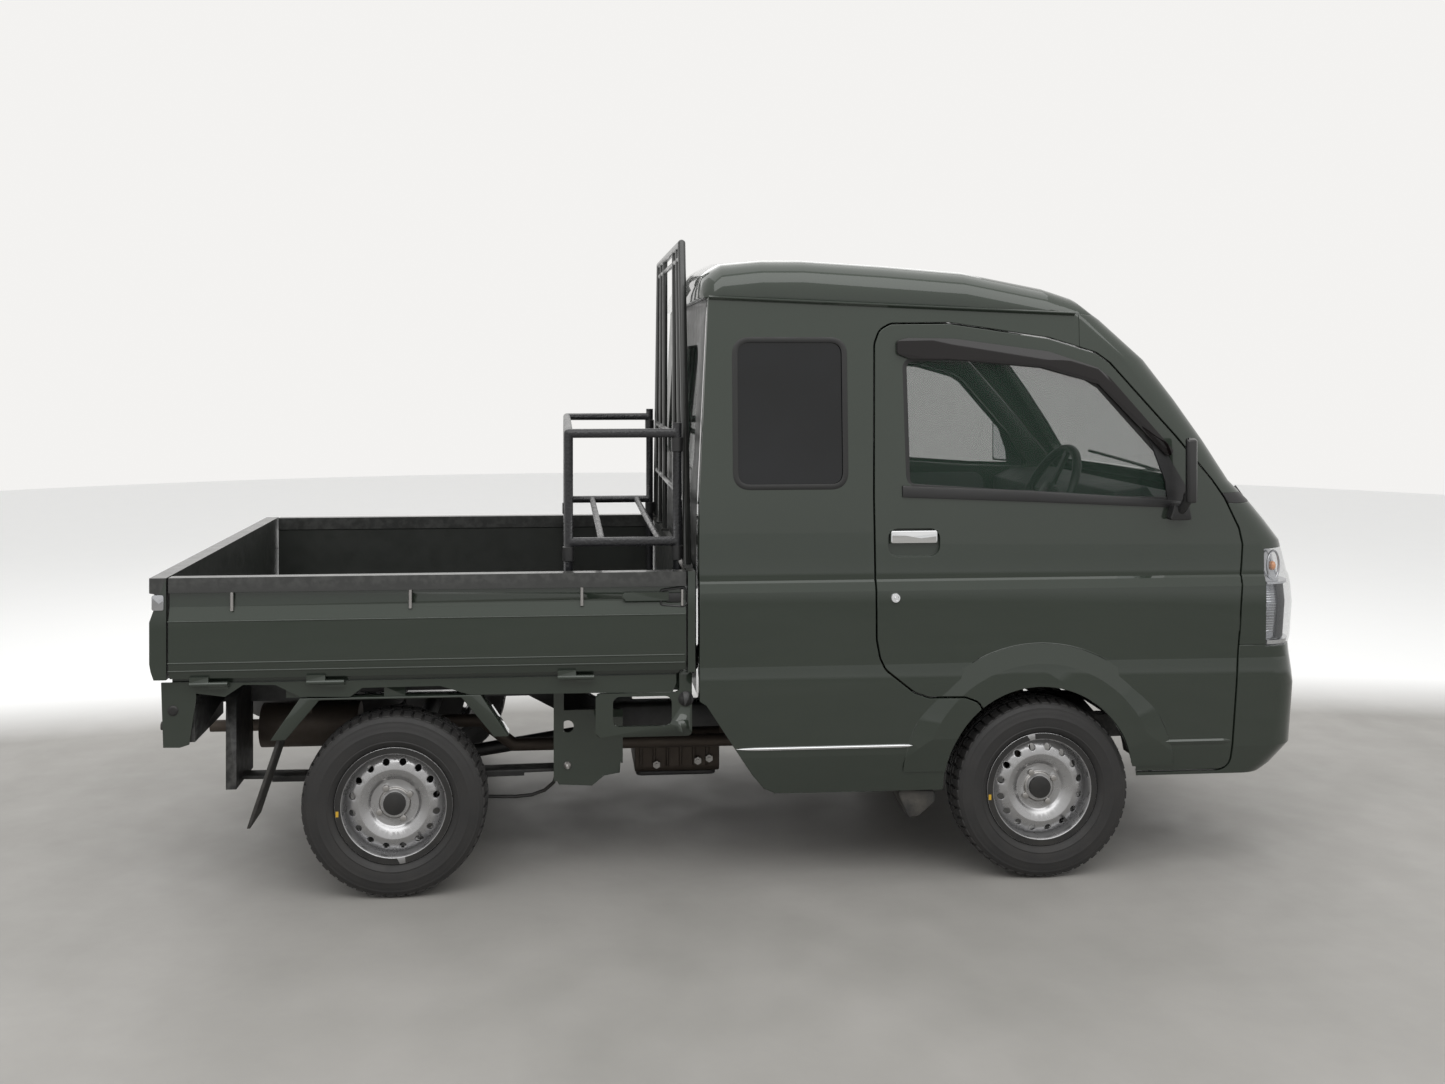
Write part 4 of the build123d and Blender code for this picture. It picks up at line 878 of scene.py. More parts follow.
@dataclass(frozen=True)
class RingArray:
    """Item repeated evenly round an axis through the origin by a Geometry Nodes tree."""

    count: int
    about: Turn = Turn.Y

    def tree(self) -> bpy.types.NodeTree:
        """Give the tree, with its item, count, step and finish as named inputs."""
        known = bpy.data.node_groups.get("repeat_ring")
        if known is not None:
            return known
        tree = bpy.data.node_groups.new("repeat_ring", "GeometryNodeTree")
        for name, way, kind in (("Geometry", "INPUT", "Geometry"), ("Item", "INPUT", "Object"),
                                ("Count", "INPUT", "Int"), ("Step", "INPUT", "Vector"),
                                ("Finish", "INPUT", "Material"), ("Geometry", "OUTPUT", "Geometry")):
            tree.interface.new_socket(name, in_out=way, socket_type="NodeSocket" + kind)
        given, made, line, item, place, real, paint, index, turn = (tree.nodes.new(kind) for kind in (
            "NodeGroupInput", "NodeGroupOutput", "GeometryNodeMeshLine", "GeometryNodeObjectInfo",
            "GeometryNodeInstanceOnPoints", "GeometryNodeRealizeInstances", "GeometryNodeSetMaterial",
            "GeometryNodeInputIndex", "ShaderNodeVectorMath"))
        line.inputs["Offset"].default_value = (0.0, 0.0, 0.0)
        turn.operation = "SCALE"
        for source, output, target, key in (
                (given, "Count", line, "Count"), (given, "Item", item, "Object"),
                (line, "Mesh", place, "Points"), (item, "Geometry", place, "Instance"),
                (given, "Step", turn, 0), (index, "Index", turn, "Scale"),
                (turn, "Vector", place, "Rotation"),
                (place, "Instances", real, "Geometry"), (real, "Geometry", paint, "Geometry"),
                (given, "Finish", paint, "Material"), (paint, "Geometry", made, "Geometry")):
            tree.links.new(source.outputs[output], target.inputs[key])
        return tree

    def realise(self, item: Shape, finish: Finish | Glazing) -> bpy.types.Mesh:
        """Repeat an item and give the result as a plain mesh.

        Args:
            item: the item, placed for the first copy.
            finish: its finish.

        Returns:
            The mesh of all copies.
        """
        tree = self.tree()
        one = link("array_item", item.mesh("array_item"), finish.build())
        host = link("array_host", bpy.data.meshes.new("array_host"), finish.build())
        modifier = host.modifiers.new("repeat", "NODES")
        modifier.node_group = tree
        keys = {s.name: s.identifier for s in tree.interface.items_tree if s.in_out == "INPUT"}
        modifier[keys["Item"]] = one
        modifier[keys["Count"]] = self.count
        modifier[keys["Step"]] = tuple(c * math.tau / self.count for c in self.about.value)
        modifier[keys["Finish"]] = finish.build()
        bpy.context.view_layer.update()
        done = host.evaluated_get(bpy.context.evaluated_depsgraph_get())
        mesh = bpy.data.meshes.new_from_object(done)
        host.modifiers.remove(modifier)
        for used in (one, host):
            bpy.data.objects.remove(used)
        return mesh


# Cab form

class Station:
    """One height of the cab: half width, front at the middle, bow of the front, and if it is a crease."""

    def __init__(self, z: float, half: float, front: float, bow: float, crease: bool = False) -> None:
        """Take the sizes in millimetres."""
        self.z, self.half, self.front, self.bow, self.crease = z * MM, half * MM, front * MM, bow * MM, crease


@dataclass
class CabForm:
    """Outer form of the cab, which the panels' shading and the trims follow."""

    corner: float = 0.100
    half_width: float = 737.5
    nose: float = 1697.5

    def stations(self) -> list[Station]:
        """Give the stations from the sill to the roof."""
        h, n = self.half_width, self.nose
        # height, half width, front, bow, crease
        return [Station(*row) for row in (
            (268, h - 26, 1560, 14), (325, h - 15, 1634, 14), (385, h - 7, 1688, 15, True), (567, h, n, 15),
            (604, h, 1693.2, 15), (650, h - 4, 1687.9, 15, True), (684, h - 4, 1684, 15, True),
            (704, h - 4, 1690, 15, True), (811, h - 2, n, 16), (866, h - 2, 1693.7, 17.5, True),
            (892, h - 9, 1691.9, 18, True), (898, h - 15, 1690.7, 18.5, True), (920, h - 14, 1686, 20),
            (995, h - 16, 1672, 25), (1056, h - 18, 1640, 40), (1117, h - 20, 1604, 55),
            (1176, h - 24, 1555, 65), (1299, h - 31, 1483, 72), (1421, h - 38, 1401, 76),
            (1543, h - 45, 1311, 80), (1664, h - 51, 1181, 85), (1760, h - 56, 1050, 85))]

    def at(self, z: float, key: str) -> float:
        """Give a size of the form at a height.

        Args:
            z: the height.
            key: half, front or bow.

        Returns:
            The size.
        """
        rows = self.stations()
        return float(np.interp(z, [r.z for r in rows], [getattr(r, key) for r in rows]))

    def side_y(self, z: float, out: float = 0.0) -> float:
        """Give the right side's y at a height, moved outwards by out."""
        return -(self.at(z, "half") + out)

    def plan(self, z: float, x0: float, y1: float, inset: float, steps: int = 8) -> list[Vector]:
        """Give points round the right front corner at a height.

        Args:
            z: the height.
            x0: where they start on the side.
            y1: where they end on the front.
            inset: how far inside the outer form they lie.
            steps: points in the corner.

        Returns:
            The points, from the side to the front.
        """
        half, front, bow = (self.at(z, key) - inset * (key != "bow") for key in ("half", "front", "bow"))
        r = self.corner - inset
        middle_x, middle_y = front - bow - r, -(half - r)
        points = [Vector((x0, -half, z))]
        points += [Vector((middle_x + r * math.sin(t), middle_y - r * math.cos(t), z))
                   for t in np.linspace(0, math.pi / 2, steps)]
        share = 1 - (y1 / middle_y) ** 2
        points.append(Vector((front - bow + bow * share, y1, z)))
        return points

    def slab(self, heights: Sequence[float], x0: float, y1: float, outer: Callable[[float], float],
             thick: float = 0.003, keep: slice = slice(None), steps: int = 8) -> "Shape":
        """Give a thin closed sheet inside the right front corner.

        Args:
            heights: its rows.
            x0: where it starts on the side.
            y1: where it ends on the front.
            outer: inset of its outer face at each height.
            thick: its thickness.
            keep: which of the points round the corner it spans.
            steps: points in the corner.

        Returns:
            The shape.
        """
        part = bmesh.new()
        faces = [[[part.verts.new(p) for p in self.plan(z, x0, y1, outer(z) + depth, steps)[keep]]
                  for z in heights] for depth in (0.0, thick)]
        rows, across = len(heights), len(faces[0][0])
        for grid in faces:
            for i in range(rows - 1):
                for j in range(across - 1):
                    part.faces.new((grid[i][j], grid[i][j + 1], grid[i + 1][j + 1], grid[i + 1][j]))
        edge = ([(0, j) for j in range(across)] + [(i, across - 1) for i in range(1, rows)]
                + [(rows - 1, j) for j in range(across - 2, -1, -1)]
                + [(i, 0) for i in range(rows - 2, 0, -1)])
        for (a, b), (c, d) in zip(edge, edge[1:] + edge[:1]):
            part.faces.new((faces[0][a][b], faces[0][c][d], faces[1][c][d], faces[1][a][b]))
        bmesh.ops.recalc_face_normals(part, faces=part.faces)
        return Shape().take(part)

    def band(self, outline: Outline, width: float, out: float, thick: float = 0.004) -> "Shape":
        """Give a closed flat band that follows an outline on the right side.

        Args:
            outline: closed (x, z) points of its middle.
            width: its width.
            out: how far its face stands out of the form.
            thick: its thickness.

        Returns:
            The shape.
        """
        section = [(-width / 2, -thick), (width / 2, -thick), (width / 2, -0.0006), (width / 2 - 0.001, 0.0),
                   (0.001 - width / 2, 0.0), (-width / 2, -0.0006)]
        points = [(x, self.side_y(z, out), z) for x, z in outline]
        return Shape().sweep(section, points, closed=True, up=(0.0, -1.0, 0.0))

    def plate(self, outline: Outline, outer: float, inner: float, bevel: float = 0.0) -> "Shape":
        """Give a plate on the right side, curved as the form is.

        Args:
            outline: closed (x, z) points.
            outer: how far its face stands out of the form.
            inner: how far its back does.
            bevel: rounding of its edges.

        Returns:
            The shape.
        """
        part = bmesh.new()
        join_rings(part, [[part.verts.new((x, self.side_y(z, out), z)) for x, z in outline]
                          for out in (outer, inner)])
        if bevel > 0:
            bevel_sharp(part, bevel)
        return Shape().take(part)

    def slopes(self, z: np.ndarray, key: str) -> np.ndarray:
        """Give the smoothed slope of a size at heights.

        Args:
            z: heights.
            key: half or front.

        Returns:
            Change of the size for each metre of height.
        """
        rows = self.stations()
        heights = np.array([r.z for r in rows])
        size = np.array([getattr(r, key) for r in rows])
        flat = np.diff(size) / np.diff(heights)
        mean = np.concatenate(([flat[0]], (flat[:-1] + flat[1:]) / 2, [flat[-1]]))
        crease = np.array([r.crease for r in rows])
        low = np.where(crease[:-1], flat, mean[:-1])
        high = np.where(crease[1:], flat, mean[1:])
        i = np.clip(np.searchsorted(heights, z, side="right") - 1, 0, len(flat) - 1)
        t = np.clip((z - heights[i]) / (heights[i + 1] - heights[i]), 0, 1)
        return low[i] * (1 - t) + high[i] * t

    def normals(self, points: np.ndarray, height: np.ndarray) -> np.ndarray:
        """Give the smooth outward direction of the form at points.

        Args:
            points: the points.
            height: height of the middle of each point's face, which tells the side of a crease.

        Returns:
            Unit vectors.
        """
        rows = self.stations()
        heights = [r.z for r in rows]
        z = points[:, 2]
        half, front, bow = (np.interp(z, heights, [getattr(r, k) for r in rows])
                            for k in ("half", "front", "bow"))
        near = z + np.clip(height - z, -0.002, 0.002)
        side_slope, front_slope = self.slopes(near, "half"), self.slopes(near, "front")
        sign = np.where(points[:, 1] < 0, -1.0, 1.0)
        across = np.abs(points[:, 1])
        side = half - self.corner
        start = front - bow - self.corner
        end_turn = 2 * np.arctan2(bow, side)
        corner_turn = np.arctan2(np.maximum(points[:, 0] - start, 0), np.maximum(across - side, 1e-6))
        corner_share = np.clip(corner_turn / (math.pi / 2), 0, 1)
        face_turn = math.pi / 2 - end_turn * np.clip(across / side, 0, 1)
        turn = np.where(across < side, face_turn, corner_share * (math.pi / 2 - end_turn))
        turn = np.where(points[:, 0] < start, 0.0, turn)
        up = -(front_slope * np.sin(turn) + side_slope * np.cos(turn))
        found = np.stack([np.sin(turn), sign * np.cos(turn), up], 1)
        return found / np.linalg.norm(found, axis=1)[:, None]


CAB = CabForm()


def panel(node: str, finish: Finish = PAINT,
          bevel: float = 0.0022) -> bpy.types.Object:
    """Dress a painted cab panel: rounded edges, and shading that follows the smooth form of the cab.

    Args:
        node: name of the frame node.
        finish: what it is finished in.
        bevel: width of the edge rounding.

    Returns:
        The dressed panel, which stands for the node.
    """
    made = dress(node, finish, bevel, 30.0)
    mesh = made.data
    count = len(mesh.loops)
    normals = np.zeros(count * 3, np.float32)
    mesh.corner_normals.foreach_get("vector", normals)
    normals = normals.reshape(-1, 3).astype(float)
    vertex = np.zeros(count, int)
    mesh.loops.foreach_get("vertex_index", vertex)
    points = np.array([v.co for v in mesh.vertices], float)
    faces = len(mesh.polygons)
    centre, flat = np.zeros(faces * 3), np.zeros(faces * 3)
    total = np.zeros(faces, int)
    mesh.polygons.foreach_get("center", centre)
    mesh.polygons.foreach_get("normal", flat)
    mesh.polygons.foreach_get("loop_total", total)
    centre, flat = centre.reshape(-1, 3), flat.reshape(-1, 3)
    form = CAB.normals(centre, centre[:, 2])
    outer = np.einsum("ij,ij->i", form, flat) > ON_OUTER
    owner = np.repeat(np.arange(faces), total)
    reach = np.hypot(centre[:, 0] - FRONT_AXLE_X, centre[:, 2] - TYRE_RADIUS)
    flare = outer & (reach > ARCH_FLARE[0]) & (reach < ARCH_FLARE[1]) & (np.abs(flat[:, 1]) < PLAIN_SIDE)
    normals[flare[owner]] = flat[owner][flare[owner]]
    outer &= ~flare
    on_outer = outer[owner]
    smooth_normals = CAB.normals(points[vertex], centre[owner][:, 2])
    normals[on_outer] = smooth_normals[on_outer]
    shared = np.zeros(len(points), bool)
    shared[vertex[on_outer]] = True
    near = np.einsum("ij,ij->i", normals, smooth_normals) > NEAR_OUTER
    joined = ~on_outer & ~flare[owner] & shared[vertex] & near
    normals[joined] = smooth_normals[joined]
    mesh.normals_split_custom_set([tuple(n) for n in normals])
    return made


# Sub-assemblies

def mm(points: Outline) -> list[tuple[float, ...]]:
    """Give points in metres from millimetres."""
    return [tuple(c * MM for c in point) for point in points]


DOOR_WINDOW = mm([(466, 1166), (459, 1530), (478, 1548), (600, 1555), (880, 1530), (1020, 1492), (1060, 1468),
                  (1255, 1250), (1330, 1130), (1322, 1118), (1100, 1124)])
QUARTER_WINDOW = mm([(-42, 1170), (284, 1170), (284, 1602), (-42, 1602)])
DOOR = "door_{}"


@dataclass
class CabPanels:
    """Painted skin of the cab with its mouldings, handles and locks."""

    panels: tuple[str, ...] = ("cab_side_right", "cab_side_left", "windscreen_frame", "front_panel",
                               "front_bumper", "door_right", "door_left")

    def build(self) -> None:
        """Dress the skin and add its mouldings."""
        for node in self.panels:
            panel(node)
        panel("cowl", PLASTIC)
        dress("roof_panel", PAINT, 0.003, 50.0)
        # The cab's back takes the darker, less glossy copy of the olive paint: painted shade in its colour.
        dress("cab_rear_panel", SHADED_BED_PAINT, 0.003, 24.0)
        dress("cab_floor", INTERIOR, 0.0, 30.0)
        self.ridge("sill_ridge", "root", -0.045, 0.512, 0.411, 0.010, CHROME)
        self.ridge("door_ridge", DOOR, 1.222, 1.452, 0.403, 0.016)
        self.build_handle()
        self.build_drip_rail()

    def ridge(self, name: str, body: str, x0: float, x1: float, z: float, height: float,
              finish: Finish = PAINT) -> None:
        """Add a pressed ridge with pointed ends low on each side.

        Args:
            name: the piece's name.
            body: body that it rides on.
            x0: its rear end.
            x1: its front end.
            z: its middle height.
            height: its height.
            finish: what it is finished in.
        """
        section = [(-1.0, -0.002), (-0.8, 0.0035), (0.2, 0.006), (0.85, 0.0025), (1.0, -0.002)]
        part = bmesh.new()
        rings = []
        for t in np.linspace(0, 1, 17):
            share = min(1.0, 0.04 + 12 * min(t, 1 - t))
            half = height / 2 * share
            x = x0 + (x1 - x0) * t
            rings.append([part.verts.new((x, CAB.side_y(z + half * a, d * share), z + half * a))
                          for a, d in section])
        join_rings(part, rings)
        Shape().take(part).pair(name, finish, body, Slot.PAINT, 40.0)

    def build_handle(self) -> None:
        """Add the bright flap of the door handle and the key cylinder."""
        flap = Shape()
        flap.prism(rounded(mm([(417, 1003), (556, 1003), (556, 1040), (417, 1040)]), 0.006), Turn.Y, -0.7235,
                   -0.712, 0.003)
        flap.pair("handle_flap", CHROME, DOOR, Slot.STEEL)
        key = Shape()
        key.lathe([(0.0, -0.0045), (0.0035, -0.0045), (0.004, -0.002), (0.008, -0.002), (0.0085, -0.0055),
                   (0.0125, -0.0055), (0.014, -0.0035), (0.0155, 0.002), (0.0, 0.002)],
                  (0.427, CAB.side_y(0.845), 0.845), Turn.Y, 32)
        key.pair("key_cylinder", CHROME, DOOR, Slot.STEEL)

    def build_drip_rail(self) -> None:
        """Add the drip rail over each door."""
        points = []
        for x in np.linspace(-0.118, 0.985, 16):
            z = 1.727 - 0.0405 * (x + 0.150)
            points.append((x, CAB.side_y(z, 0.001), z))
        section = [(-0.007, -0.004), (0.004, -0.005), (0.009, 0.002), (0.009, 0.005), (0.005, 0.006),
                   (0.0, 0.002), (-0.007, 0.003)]
        Shape().sweep(section, points, up=(0.0, -0.2, 1.0)).pair("drip_rail", PAINT, "root", Slot.PAINT)


@dataclass
class CabGlass:
    """Glass of the cab with its seals, visors, sails, mirrors and wipers."""

    def build(self) -> None:
        """Dress the glass and add its seals."""
        dress("windscreen", GLASS, 0.0, 40.0)
        dress("rear_window", GLASS, 0.0, 40.0)
        # The quarter glass is opaque: the dark of the cab behind it is painted shade.
        dress("quarter_glass", DARK_GLASS, 0.0, 40.0)
        for label in SIDE_NAMES.values():
            dress(f"door_glass_{label}", GLASS, 0.0, 40.0)
            dress(f"door_visor_{label}", SMOKE, 0.001, 30.0)
        CAB.band(rounded(DOOR_WINDOW, 0.03), 0.024, -0.0015).pair("window_seal", GASKET, DOOR, Slot.PLASTIC)
        CAB.band(rounded(QUARTER_WINDOW, 0.045, 8), 0.016, 0.0012).pair("quarter_seal", GASKET, "root",
                                                                      Slot.PLASTIC)
        self.build_belt()
        self.build_sail()
        self.build_mirror()
        self.build_wipers()

    def build_belt(self) -> None:
        """Add the black moulding along the foot of the door window."""
        outline = mm([(452, 1172), (838, 1155), (1267, 1124), (1318, 1117), (1326, 1108), (1267, 1101),
                      (838, 1122), (452, 1138)])
        CAB.plate(outline, 0.007, -0.004, 0.0025).pair("belt_moulding", PLASTIC, DOOR, Slot.PLASTIC)

    def build_sail(self) -> None:
        """Add the black corner piece ahead of the glass, which carries the mirror."""
        outline = rounded(mm([(1150, 1385), (1210, 1326), (1262, 1262), (1338, 1130), (1330, 1108),
                              (1262, 1108), (1255, 1180), (1215, 1290)]), 0.008)
        CAB.plate(outline, 0.002, -0.006).pair("sail", PLASTIC, DOOR, Slot.PLASTIC)

    def build_mirror(self) -> None:
        """Add the mirrors, turned to the driver, each with its glass, arm and foot."""
        place = Matrix.Translation((1.2870, -0.8175, 1.2200)) @ Matrix.Rotation(math.radians(-26), 4, "Z")
        shell = Shape().prism(rounded(mm([(-15, -56), (-5, -56), (13, -38), (15, 0), (13, 38), (-5, 56),
                                          (-15, 56)]), 0.010), Turn.Z, -0.092, 0.092, 0.007, 3)
        glass = Shape().prism(rounded(mm([(-48, -84), (48, -84), (48, 84), (-48, 84)]), 0.014), Turn.X,
                              -0.0158, -0.0130)
        mirror = Shape().add_mesh(shell.mesh("mirror_shell"), place)
        mirror.prism(rounded(mm([(1252, 1066), (1322, 1066), (1312, 1112), (1266, 1112)]), 0.008), Turn.Y,
                     -0.752, -0.717, 0.004)
        mirror.tube(mm([(1288, -736, 1088), (1290, -752, 1100), (1294, -772, 1124), (1294, -782, 1150)]),
                    0.013)
        face = Shape().add_mesh(glass.mesh("mirror_pane"), place)
        for side, label in SIDE_NAMES.items():
            mirror.piece(f"mirror_{label}", PLASTIC, f"door_{label}", Slot.PLASTIC, side, 35.0,
                         (f"door_mirror_{label}",))
            face.piece(f"mirror_glass_{label}", CHROME, f"door_{label}", Slot.STEEL, side)

    def build_wipers(self) -> None:
        """Add the wiper arms and blades at the foot of the windscreen."""
        wipers = Shape()
        for y in (-0.56, 0.02):
            points = []
            for t in np.linspace(0, 1, 7):
                across, z = y + 0.46 * t, 1.146 + 0.045 * t
                x = CAB.at(z, "front") - CAB.at(z, "bow") * (across / 0.6) ** 2 + 0.008
                points.append((x, across, z))
            wipers.tube(points, 0.006, 8)
            foot = points[0]
            wipers.tube([(foot[0] + 0.03, foot[1] - 0.01, foot[2] - 0.03),
                         (foot[0] + 0.012, foot[1], foot[2])], 0.010, 10)
        wipers.piece("wipers", PLASTIC, "root", Slot.PLASTIC)


@dataclass
class Nose:
    """Lamps and grilles."""

    low: float = 0.692
    high: float = 0.969

    def build(self) -> None:
        """Dress the lamps and grilles, and fill the lamps."""
        dress("headlamps", LENS, 0.002, 30.0)
        dress("front_grille", PLASTIC, 0.001, 30.0)
        self.build_housing()
        self.build_bowl()

    def build_housing(self) -> None:
        """Add the reflector, its ribs, the dark strip and the bright bezel."""
        heights = list(np.linspace(self.low, self.high, 12))
        back = CAB.slab(heights, 1.566, -0.478, lambda z: 0.030)
        back.pair("lamp_reflector", REFLECTOR, "root", Slot.STEEL)
        ribs = list(np.linspace(0.705, 0.868, 85))
        CAB.slab(ribs, 1.568, -0.482, lambda z: 0.021 + 0.0022 * math.sin(z * math.tau / 0.0077), 0.004,
                 steps=14).pair("lamp_ribs", REFLECTOR, "root", Slot.STEEL)
        CAB.slab(list(np.linspace(0.704, 0.870, 4)), 1.568, -0.48, lambda z: 0.016, 0.003, slice(4, 9),
                 16).pair("lamp_strip", PLASTIC, "root", Slot.PLASTIC)
        CAB.slab([0.688, 0.700], 1.566, -0.478, lambda z: 0.006, 0.02).pair("lamp_bezel", CHROME, "root",
                                                                             Slot.STEEL)
        CAB.slab([0.868, 0.874], 1.568, -0.480, lambda z: 0.010, 0.02).pair("lamp_shelf", REFLECTOR, "root",
                                                                             Slot.STEEL)

    def build_bowl(self) -> None:
        """Add the bowl of the side lamp and its bulb."""
        centre = CAB.plan(0.920, 1.57, -0.48, 0.022, 13)[5]
        bowl = Shape()
        loop = []
        turn = math.radians(30)
        for t in np.linspace(0, math.tau, 25)[:-1]:
            side = 0.031 * math.cos(t)
            loop.append((centre.x + side * math.cos(turn), centre.y + side * math.sin(turn),
                         centre.z + 0.044 * math.sin(t)))
        bowl.tube(loop, 0.0035, 8, True)
        bowl.pair("lamp_bowl", REFLECTOR, "root", Slot.STEEL, 60.0)
        bulb = Shape().lathe([(0.0, -0.014), (0.006, -0.012), (0.0095, -0.005), (0.0095, 0.004),
                              (0.006, 0.012), (0.0, 0.014)],
                             (centre.x, centre.y + 0.004, centre.z - 0.002), Turn.Z, 20)
        bulb.pair("lamp_bulb", AMBER, "root", Slot.LAMP, 60.0)


@dataclass
class LoadBed:
    """Bed with its gates, latches, hooks and stops."""

    hooks: tuple[float, ...] = (-1.473, -0.977, -0.490)
    rail_z: float = 0.8865

    def build(self) -> None:
        """Dress the bed and add its hardware."""
        # The inside faces of gates, tailgate, front board and floor take the darker copy of the olive paint,
        # which is painted shade.
        for label in SIDE_NAMES.values():
            dress_parts(f"side_gate_{label}", self.gate_rules(), 0.0, 13.0)
        dress_parts("tailgate", [("rail", RAIL, Slot.RAIL, lambda p: p.z > self.rail_z),
                                 ("inside", SHADED_BED_PAINT, Slot.PAINT, lambda p: p.x > -1.653),
                                 ("panel", PAINT, Slot.PAINT, rest)], 0.0, 13.0)
        dress_parts("bed_front_board", [("inside", SHADED_BED_PAINT, Slot.PAINT, lambda p: abs(p.y) < 0.66),
                                        ("post", PAINT, Slot.PAINT, rest)], 0.0, 13.0)
        dress_parts("bed_floor", [("inside", SHADED_BED_PAINT, Slot.PAINT, lambda p: p.z > 0.6395),
                                  ("stop", MUD, Slot.RUBBER, lambda p: p.x < -1.6685 and p.z < 0.53),
                                  ("frame", PAINT, Slot.PAINT, rest)], 0.0, 16.0)
        self.build_creases()
        self.build_latch()
        self.build_lens()

    def gate_rules(self) -> list[Rule]:
        """Give the rules that split a side gate into panel, rail, hooks and inside."""
        # The gate's inside takes the darker copy of the olive paint: painted shade.
        return [("hook", STEEL, Slot.STEEL, lambda p: 0.8345 < p.z < 0.8915 and abs(p.y) > 0.7243
                 and any(abs(p.x - x) < 0.0065 for x in self.hooks)),
                ("rail", RAIL, Slot.RAIL, lambda p: p.z > self.rail_z),
                ("inside", SHADED_BED_PAINT, Slot.PAINT, lambda p: abs(p.y) < 0.7058),
                ("panel", PAINT, Slot.PAINT, rest)]

    def build_creases(self) -> None:
        """Round the pressed creases of each side gate, which catch the light."""
        lines = Shape()
        for y, z in ((-0.7328, 0.668), (-0.7364, 0.691), (-0.7364, 0.808)):
            lines.tube([(x, y, z) for x in (-1.648, -0.930, -0.1935)], 0.0026, 10)
        lines.pair("gate_creases", PAINT, "side_gate_{}", Slot.PAINT, 60.0)

    def build_latch(self) -> None:
        """Add the wire loop and bright pin of each gate's latch."""
        loop = rounded(mm([(-262, 834), (-196, 828), (-184, 840), (-184, 872), (-196, 884), (-262, 876)]),
                       0.008)
        wire = Shape().tube([(x, -0.7285, z) for x, z in loop], 0.0032, 8, True)
        wire.box((-0.246, -0.7345, 0.843), (-0.205, -0.7235, 0.868), 0.002)
        wire.pair("latch_loop", PLASTIC, "side_gate_{}", Slot.PLASTIC)
        pin = Shape().tube([(-0.2005, -0.732, z * MM) for z in (832, 840, 870, 879)], 0.0042, 10)
        pin.pair("latch_pin", STEEL, "side_gate_{}", Slot.STEEL)

    def build_lens(self) -> None:
        """Add the small lens on each end of the tailgate."""
        lens = Shape().prism(rounded(mm([(-1690, 841), (-1657, 841), (-1657, 884), (-1690, 884)]), 0.006),
                             Turn.Y, -0.7420, -0.7360, 0.0015)
        lens.pair("tailgate_lens", REFLECTOR, "tailgate", Slot.LAMP)


@dataclass
class Racks:
    """Pipe guard and pipe rack."""

    def build(self) -> None:
        """Dress the pipes and add the brace and clamps of the rack."""
        dress("guard_frame", RAIL, 0.0, 40.0)
        dress("tube_rack", TAPE, 0.0, 40.0)
        clamps = Shape()
        for x, z in ((-0.528, 1.003), (-0.205, 1.003), (-0.205, 1.325)):
            for y in (-0.615, 0.615):
                clamps.lathe([(0.0145, -0.022), (0.0175, -0.020), (0.0175, 0.020), (0.0145, 0.022)],
                             (x, y, z - 0.034), Turn.Z, 20)
        clamps.piece("rack_clamps", PLASTIC, "root", Slot.PLASTIC)
        brace = Shape().prism(mm([(-212, 960), (-200, 966), (-168, 905), (-180, 899)]), Turn.Y,
                              -0.628, -0.622, 0.001)
        brace.pair("rack_brace", STEEL, "root", Slot.STEEL)


